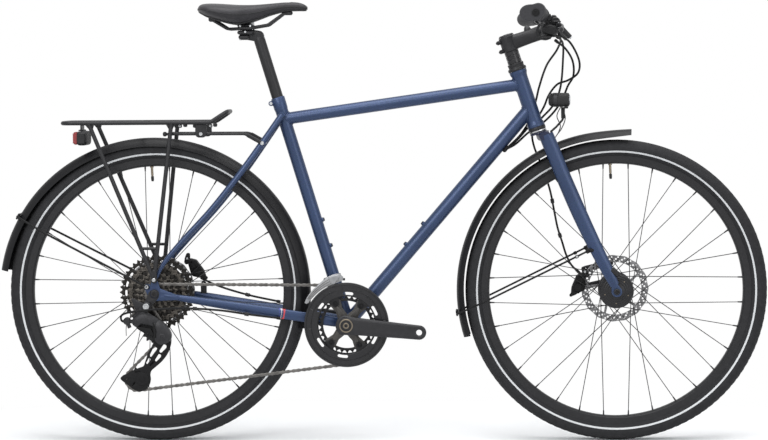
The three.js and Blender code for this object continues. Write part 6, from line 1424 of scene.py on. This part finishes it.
def build_large_ring():
    large = [teeth_outline(BIG_TEETH), inner_edge(66.8, 49.3)]
    large += [slot(70.5, 79, a - 0.13, a + 0.13, 8) for a in WINDOWS]
    large += [hole(ORIGIN, (k + 0.25) * 2 * PI / 24, pitch_radius(BIG_TEETH) - 6, 1.6, 10)
              for k in range(24)]
    crank_part("ring_large", [plate(large, BIG_Y - 1, BIG_Y + 1, 0.3, 1)], RING,
               ["chainring_large"], 30)
    crank_part("ring_bolts", [lathe([
        (2.6, -52.4), (3, -53.6), (5.6, -53.6), (6, -53.2), (6, -51.2), (2.6, -51.2)],
        polar(a, 56), Y, 28) for a in SPIDER], INK)

    loops = [circle(100, 160), circle(68.5, 140)]
    loops += [slot(71.4, 78, a - 0.12, a + 0.12, 8) for a in WINDOWS]
    guard = [plate(loops, -58.3, -55.9, 0.9, 3),
             lathe([(96.6, -57.4), (100, -57), (100, -50.6), (98.6, -50.6), (98.2, -56)], n=160)]
    guard += [lathe([(r - 1, -58.2), (r - 0.4, -59.2), (r + 0.4, -59.2), (r + 1, -58.2)], n=160)
              for r in (83.5, 95)]
    guard += [block(polar(a, 89.4, -58.5), (9.6, 1.2, 2), polar(a), Y, 0.4)
              for a in around(12) + 0.2]
    guard += [rod(polar(a, 84, -58.2), polar(a, 84, -51.3), 4) for a in SPIDER]
    guard += [lump([spot(polar(a, 84), 4.6), spot(polar(a, 88.4), 6)], -58, -56, 0.7)
              for a in SPIDER]
    crank_part("chain_guard_ring", guard, GLOSS, ["chain_guard"], 38)
    crank_part("guard_screws", [bolt(polar(a, 84, -58.2), -Y, 3, 1.6) for a in SPIDER], SATIN)


# The wheels that the chain goes round: centre, radius, way round, and plane
CHAIN_STOPS = [(SHELL, pitch_radius(BIG_TEETH), -1, BIG_Y),
               (TENSION, pitch_radius(PULLEY_TEETH), -1, COG_Y),
               (GUIDE, pitch_radius(PULLEY_TEETH), 1, COG_Y),
               (REAR, pitch_radius(COGS[0]), -1, COG_Y)]
# The chain's pieces: a name, and the stretches on it, which count round from the large ring
CHAIN_PARTS = (("ring", (0,)), ("lower", (1,)), ("pulleys", (2, 3, 4)), ("rise", (5,)),
               ("upper", (6, 7)))


def chain_route():
    """Points round the loop, each with the stretch that it is on."""
    runs = []
    for (start, r0, s0, _), (end, r1, s1, _) in zip(CHAIN_STOPS, CHAIN_STOPS[1:] + CHAIN_STOPS[:1]):
        dx, _, dz = end - start
        off = r0 * s0 - r1 * s1
        angle = math.atan2(dz, dx) + math.atan2(off, math.sqrt(dx * dx + dz * dz - off * off))
        runs.append([angle - PI / 2 + (0 if s > 0 else PI) for s in (s0, s1)])
    pts, tags = [], []
    for i, (centre, r, s, y) in enumerate(CHAIN_STOPS):
        arrive, leave = runs[i - 1][1], runs[i][0]
        turn = ((leave - arrive) * s) % (2 * PI)
        steps = math.ceil(turn * r / 1.5)
        for k in range(steps + 1):
            pts.append(centre + polar(arrive + s * turn * k / steps, r, y))
            tags.append(2 * i if k < steps else 2 * i + 1)
    return pts, tags


def link(p, q, outer):
    """The two plates of a link and the pin and roller at its start."""
    way = unit(q - p)
    side = unit(Y - way * Y.dot(way))
    up = np.cross(way, side)
    length = np.linalg.norm(q - p)
    back = arc(4, np.linspace(PI / 2, 3 * PI / 2, 7))
    waist = 3.1 if outer else 2.6
    loop = np.vstack([back, [(length / 2, -waist)], (length, 0) - back, [(length / 2, waist)]])
    inside, outside = (2.15, 2.9) if outer else (1.2, 2.0)
    parts = []
    for s in BOTH:
        rings = []
        for y, k in ((inside, 1), (outside - 0.15, 1), (outside, 0.9)):
            x = loop[:, 0] - length / 2
            flat = np.c_[length / 2 + x * np.where(abs(x) > 1, k, 1), loop[:, 1] * k]
            rings.append(facing(p + side * y * s, flat, way, up))
        parts.append(loft(rings))
    return [*parts, rod(p - side * 3.15, p + side * 3.15, 1.75, 10),
            rod(p - side * 1.15, p + side * 1.15, 3.7, 12)]


def build_chain():
    pts, tags = chain_route()
    ends = np.array(pts + [pts[0]])
    reached = np.concatenate([[0], np.cumsum(np.linalg.norm(np.diff(ends, axis=0), axis=1))])
    count = 2 * round(reached[-1] / PITCH / 2)
    stations, on = [], []
    for i in range(count):
        want = reached[-1] * i / count
        k = int(np.searchsorted(reached, want, side="right")) - 1
        t = (want - reached[k]) / (reached[k + 1] - reached[k])
        stations.append(ends[k] * (1 - t) + ends[k + 1] * t)
        on.append(tags[k])
    groups = [[] for _ in range(8)]
    for i, (p, q) in enumerate(zip(stations, stations[1:] + stations[:1])):
        groups[on[i]] += link(p, q, i % 2 == 0)

    def blended(near, far, stretch):
        """Two bodies with the two ends of a free stretch, from its first point to the next wheel.
        """
        first = tags.index(stretch)
        return near, far, row(pts[first]), row(pts[first + 1])
    bodies = {"ring": "frame", "lower": blended("frame", "cage", 1), "pulleys": "cage",
              "rise": blended("cage", "frame", 5), "upper": "frame"}
    for name, keys in CHAIN_PARTS:
        make(f"chain_{name}", join(*[part for k in keys for part in groups[k]]), CHAIN,
             bodies[name], ["chain"] if name == "ring" else (), 32)


# ---- derailleurs
CAGE_EDGE = [
    (-420, 262), (-430, 270), (-443, 268), (-452, 257), (-456, 243), (-462, 230), (-470, 215),
    (-477, 196), (-482, 184), (-494, 179), (-507, 173.5), (-522, 166), (-534, 159.5),
    (-536.6, 155), (-532, 149), (-517, 138), (-503, 127.6), (-490, 124), (-477, 128),
    (-469, 138), (-465.6, 152), (-466.5, 163), (-464, 172), (-452, 182.5), (-439, 194),
    (-429, 206), (-422, 218), (-417.5, 231), (-415.5, 243), (-416, 253)]
CAGE_WINDOWS = [
    [(-441, 218.5, 3.4), (-431, 230.5, 5)], [(-452.5, 197, 2.6), (-443.5, 208.5, 4.2)],
    [(-465, 186.5, 1.8), (-458.5, 193.5, 2.6)], [(-465, 208, 2.8), (-453.5, 226.5, 5)],
    [(-474, 190.5, 2.2), (-467.5, 200.5, 3)], [(-508.5, 139, 1.5), (-503, 145, 1.7)],
    [(-523.5, 152.5, 1.1), (-520, 154, 1.6)], [(-500, 170.5, 1.7), (-491.5, 172, 1.7)],
    [(-447, 242, 3.6), (-436, 246, 3.6)]]
LINK = [(-504.6, 294.2), (-499.3, 302), (-483.3, 313.4), (-468.4, 313.8), (-455.7, 307),
        (-440.8, 296.3), (-447.5, 279.3), (-459.9, 281.5), (-481.2, 285), (-494, 279.3),
        (-502.5, 285.7)]
UNDER = [(-501, 292), (-494, 276), (-481.2, 267), (-462, 256), (-449, 251), (-441, 262),
         (-446, 290), (-470, 300)]
KNUCKLE = [(-452, 294), (-440, 296), (-426, 285), (-416.5, 273), (-411.6, 261),
           (-413.6, 248.5), (-423, 240), (-438, 237.5), (-447.5, 243.5), (-452, 254),
           (-451.4, 271), (-455, 283)]


def closed(corners, per):
    """A smooth closed outline through corners."""
    return spline([vec(x, 0, z) for x, z in corners], per, True)[:, [0, 2]]


def build_cage():
    holes = [hull(w, 16) for w in CAGE_WINDOWS]
    edge = closed(CAGE_EDGE, 4)
    rise, reach = 8.2, pitch_radius(PULLEY_TEETH) + 4.1 + 2.6  # of the pin that stops the chain
    stop = TENSION + vec(-math.sqrt(reach**2 - rise**2), 0, rise)
    make("cage_plates", join(
        plate([edge, *holes], -66.2, -64.4, 0.5),
        plate([circle(16, 64, (-484, 0, 153.5))], -67.6, -65, 1.2, 3),
        plate([hull([spot(GUIDE, 13), (-448, 236, 10)]), circle(3, 24, GUIDE)],
              -55.6, -53.8, 0.5),
        plate([edge, *[holes[k] for k in (0, 1, 3, 4)]], -55.5, -53.9, 0.5),
        rod((-484, -69, 153.5), (-484, -67, 153.5), 5, 28, 4.2),
        *[rod(p - Y * 66, p - Y * 54, 2.6) for p in (GUIDE, TENSION)],
        rod(stop - Y * 65, stop - Y * 54.6, 2, 20)),
        INK, "cage", ["derailleur_cage"], 32)
    hub = [(3.2, -61.8), (6, -61.8), (6.4, -61.2), (6.4, -58.8), (6, -58.2), (3.2, -58.2)]
    for name, at in (("guide_pulley", GUIDE), ("tension_pulley", TENSION)):
        loops = [teeth_outline(PULLEY_TEETH, at), circle(3.4, 24, at)]
        loops += [hole(at, a, 13, 2.8, 14) for a in around(6)]
        make(f"{name}_wheel", join(plate(loops, -61, -59, 0.3, 1), lathe(hub, at, Y, 32)),
             MATT, name, [name], 30)


def facet(corners, y0, y1, swell):
    """A cast lump: a plate whose outer face is drawn in to a ridge."""
    ring, middle, bevel = closed(corners, 3), np.mean(corners, 0), 2.4
    return loft([facing(Y * y, middle + (ring - middle) * k) for y, k in (
        (y0, 0.94), (y0 - 1, 1), (y1 + bevel, 1), (y1, 1 - bevel / 16), (y1 - swell, 0.45))])


def build_rear_derailleur():
    pivot = vec(-432.7, 0, 256.8)
    parts = [
        facet(LINK, -84, -91, 2.6), facet(KNUCKLE, -72, -90, 3),
        lathe([(0, -93), (6, -93), (11.6, -91.4), (14.6, -88), (15, -70), (14, -66.5),
               (0, -66.5)], pivot),
        lathe([(0, -91.8), (9.4, -91.8), (10.6, -90.4), (10.6, -76), (0, -76)], HANGER, Y, 56),
        lump([spot(HANGER, 9), (-481, 308, 8), (-498, 303, 5)], -88, -77, 2.4, 3),
        lump([(-502.5, 344, 3.2), (-481, 330, 6), (-487, 316, 8)], -84, -78, 1.6, 3),
        lathe([(0, -92), (6.6, -92), (8.6, -90), (9, -80), (7, -78), (0, -78)],
              (-516, 0, 293.4), Y, 40),
        lathe([(0, -14), (4, -14), (4.6, -12), (4.6, 6), (3.4, 8), (0, 8)],
              (-515, -84, 290), (-0.4, 0, 1), 28),
        block((-507, -86, 292.5), (16, 8, 9), X, (0.2, 0, 1), 2.4)]
    parts += [block((-499 + 50 * t, -92.8, 297 - 8 * t), (13, 1.2, 2), (50, 0, -8), Z, 0.5)
              for t in (0.15, 0.45, 0.75)]
    parts += [bolt((x, -90.4, z), -Y, 3, 1.6) for x, z in ((-452, 286), (-497, 289))]
    parts.append(bolt(pivot - Y * 92.6, -Y, 7.4, 1.4, 32))
    make("rear_derailleur_body", join(*parts), CRANK, "frame", ["rear_derailleur"], 28)
    # The lower body is ink black, darker than the cast body above it: painted shade under the link.
    # The strip along the knuckle's edge and the patch under the link are painted shade too.
    crease_shade = lump([(-453.4, 291, 1.2), (-449.6, 270, 2.4), (-450, 255, 2.2)], -92.6, -88, 0.5)
    shade = lump([(-487, 277, 3), (-462, 272, 4), (-456, 262, 3)], -92, -86, 0.6)
    make("rear_derailleur_under_painted_shade", join(facet(UNDER, -76, -83.5, 0.6), crease_shade, shade), INK,
         "frame", sharp=28)
    make("rear_derailleur_tail", hose([(-517, -89, 286), (-518, -89, 272), (-517.6, -89, 259)],
                                      0.8, 8), MATT, "frame")
    make("rear_derailleur_link", block((-501.4, -89.5, 310.6), (24, 3, 5.4), (-0.53, 0, -0.85),
                                       Y, 1.2), CHAIN, "frame")
    make("rear_derailleur_bolts", lathe([
        (0, -93.2), (3.6, -93.2), (4.2, -94), (4.4, -95), (7, -95), (7.6, -94.2), (7.6, -91),
        (0, -91)], HANGER, Y, 40), SILVER, "frame")


def build_front_derailleur():
    out, inn = BIG_Y - 6, BIG_Y + 6
    # The cage's edges: an angle about the crank's axis, and the radii below and above
    edges = [(deg(a), low, high) for a, low, high in (
        (152, 106, 112), (146, 103.4, 113.5), (138, 102, 114.5), (128, 101.6, 115.5),
        (118, 101.4, 118.5), (108, 101.4, 122), (99, 103, 121.5), (94, 106, 113))]

    def at(angle, r=107, y=0.0):
        return SHELL + polar(angle, r, y)
    top = spline([at(a, high) for a, _, high in edges], 5)
    under = spline([at(a, low) for a, low, _ in edges], 5)
    loop = np.concatenate([top, under[::-1]])[:, [0, 2]]
    parts = [plate([loop], out - 1.3, out, 0.5), plate([loop], inn, inn + 1.3, 0.5)]
    parts += [rod(at(a, y=out - 1), at(a, y=inn + 1), r)
              for a, r in ((edges[-1][0] + 0.12, 4), (edges[0][0] - 0.05, 3))]
    make("front_derailleur_ribs", join(*[tube(spline(
        [at(a, low + (high - low) * share, out - 1.2) for a, low, high in edges[1:-1]], 5),
        thick, 10) for share, thick in ((0.16, 0.8), (0.44, 0.9), (0.7, 0.9))]), CHAIN, "frame")
    foot, tip = on_seat(112, 0, -17.5), at(edges[-2][0], y=inn + 1)
    parts += [
        lump([(-21, 394, 5), (-31, 382, 6), (-40, 392, 3)], out - 3.6, out - 1, 1.2),
        lathe([(15.3, 106), (17.8, 106), (18.2, 107), (18.2, 117), (17.8, 118), (15.3, 118)],
              SHELL, SEAT_UP),
        lump([spot(foot + vec(-3, 0, 1), 6), spot(tip + vec(-4, 0, 2), 6)], -24, -18, 1.8),
        lump([spot(foot + vec(1, 0, 2), 6), spot(tip + vec(2, 0, 3), 6)], -50, -24.4, 2.2),
        rod(foot, tip, 5)]
    make("front_derailleur_cage", join(*parts), ALLOY, "frame", ["front_derailleur"], 36)
    make("front_derailleur_screws", join(
        block(on_seat(112, -20), (10, 14, 11), SEAT_FWD, SEAT_UP, 2),
        bolt(on_seat(112, -22, -7), -Y, 3.2, 2.4),
        bolt((tip[0] - 1, -50, tip[2] + 4), -Y, 3.2, 1.6),
        bolt((tip[0] + 8, -40, tip[2] + 1), X, 3, 5)), SATIN, "frame")


# ---- stage
FLOOR_HALF, FLOOR_Z = 30, -0.0006  # metres
FADE_SCALE, FADE_FROM, FADE_TO = (0.75, 1.7, 1), 0.64, 1.2  # where the floor turns plain white


def seen(tree):
    """One for rays that show a background to the camera, straight or off metal and glass."""
    rays = node(tree, "LightPath")
    total, value = rays, "Is Camera Ray"
    for name in ("Is Glossy Ray", "Is Transmission Ray"):
        add = node(tree, "Math", use_clamp=True)
        wire(tree, (total, value, add, 0), (rays, name, add, 1))
        total, value = add, "Value"
    return total


def build_floor():
    mesh = bpy.data.meshes.new("studio_floor")
    corners = [(x * FLOOR_HALF, y * FLOOR_HALF, FLOOR_Z)
               for x, y in ((-1, -1), (1, -1), (1, 1), (-1, 1))]
    mesh.from_pydata(corners, [], [(0, 1, 2, 3)])
    m = bpy.data.materials.new("studio_floor")
    m.use_nodes = True
    t = m.node_tree
    b = t.nodes["Principled BSDF"]
    b.inputs["Roughness"].default_value = 1.0
    b.inputs["Specular IOR Level"].default_value = 0.0
    place = node(t, "TexCoord")
    noise = node(t, "TexNoise", {"Scale": 3})
    ramp = node(t, "ValToRGB")
    for stop, tone in zip(ramp.color_ramp.elements, (0.93, 0.96)):
        stop.color = (tone, tone, tone, 1)
    shrink = node(t, "VectorMath", {1: FADE_SCALE}, operation="MULTIPLY")
    reach = node(t, "VectorMath", operation="LENGTH")
    far = node(t, "MapRange", {"From Min": FADE_FROM, "From Max": FADE_TO},
               interpolation_type="SMOOTHSTEP")
    glow = node(t, "Emission")
    mix = node(t, "MixShader")
    share = node(t, "Math", operation="MULTIPLY")
    wire(t, (place, "Object", noise, "Vector"), (noise, "Fac", ramp, "Fac"),
         (ramp, "Color", b, "Base Color"), (place, "Object", shrink, 0),
         (shrink, "Vector", reach, 0), (reach, "Value", far, "Value"),
         (seen(t), "Value", share, 0), (far, "Result", share, 1), (share, "Value", mix, "Fac"),
         (b, "BSDF", mix, 1), (glow, "Emission", mix, 2),
         (mix, "Shader", t.nodes["Material Output"], "Surface"))
    mesh.materials.append(m)
    staged("studio_floor", mesh)


def build_world():
    """White where the camera sees it, and a dimmer fill for the light that it casts."""
    world = bpy.data.worlds.new("studio")
    bpy.context.scene.world = world
    world.use_nodes = True
    t = world.node_tree
    t.nodes.clear()
    clear = node(t, "Background", {"Color": (1, 1, 1, 1)})
    fill = node(t, "Background", {"Color": (0.9, 0.95, 1, 1), "Strength": 0.36})
    mix = node(t, "MixShader")
    out = node(t, "OutputWorld")
    wire(t, (seen(t), "Value", mix, "Fac"), (fill, "Background", mix, 1),
         (clear, "Background", mix, 2), (mix, "Shader", out, "Surface"))


def staged(name, data, side=X, up=Y, back=Z, place=ORIGIN):
    """A lamp, camera or floor of the studio, which isn't part of the model."""
    obj = bpy.data.objects.new(name, data)
    bpy.context.scene.collection.objects.link(obj)
    obj.matrix_world = Matrix([[*r] for r in np.c_[side, up, back, place]] + [[0, 0, 0, 1]])
    return obj


def lamp(name, place, aim, size, power):
    light = bpy.data.lights.new(name, "AREA")
    light.shape = "RECTANGLE"
    light.size, light.size_y = size
    light.energy = power
    way = unit(vec(*aim) - vec(*place))
    side = unit(np.cross(way, Z))
    staged(name, light, side, np.cross(side, way), -way, place)


def build_stage():
    build_floor()
    build_world()
    lamp("top_light", (0.2, -0.6, 3.4), (0, 0, 0.4), (3.4, 2.4), 125)
    lamp("key_light", (-1.6, -3.4, 2.4), (0, 0, 0.5), (2.6, 2), 84)
    lamp("fill_light", (2.6, -3.0, 1.4), (0, 0, 0.6), (2, 2.4), 34)

    camera = bpy.data.cameras.new("camera")
    camera.lens = 112.92
    camera.sensor_width = 36
    camera.clip_end = 100
    yaw, pitch, roll = deg(2.66), deg(3.40), deg(-0.42)
    flat = math.cos(pitch)
    ahead = vec(-math.sin(yaw) * flat, math.cos(yaw) * flat, -math.sin(pitch))
    side = unit(np.cross(ahead, Z))
    up = np.cross(side, ahead)
    bpy.context.scene.camera = staged(
        "camera", camera, side * math.cos(roll) + up * math.sin(roll),
        up * math.cos(roll) - side * math.sin(roll), -ahead, vec(0.27135, -5.7, 0.863))
    bpy.context.scene.view_settings.view_transform = "Standard"


build_frame()
build_wheels()
build_fork()
build_cockpit()
build_saddle()
build_post()
build_rear_fender()
build_front_fender()
build_rack()
build_tail_light()
build_headlight()
build_cables()
build_brakes()
build_cassette()
build_cranks()
build_large_ring()
build_chain()
build_cage()
build_rear_derailleur()
build_front_derailleur()
build_stage()
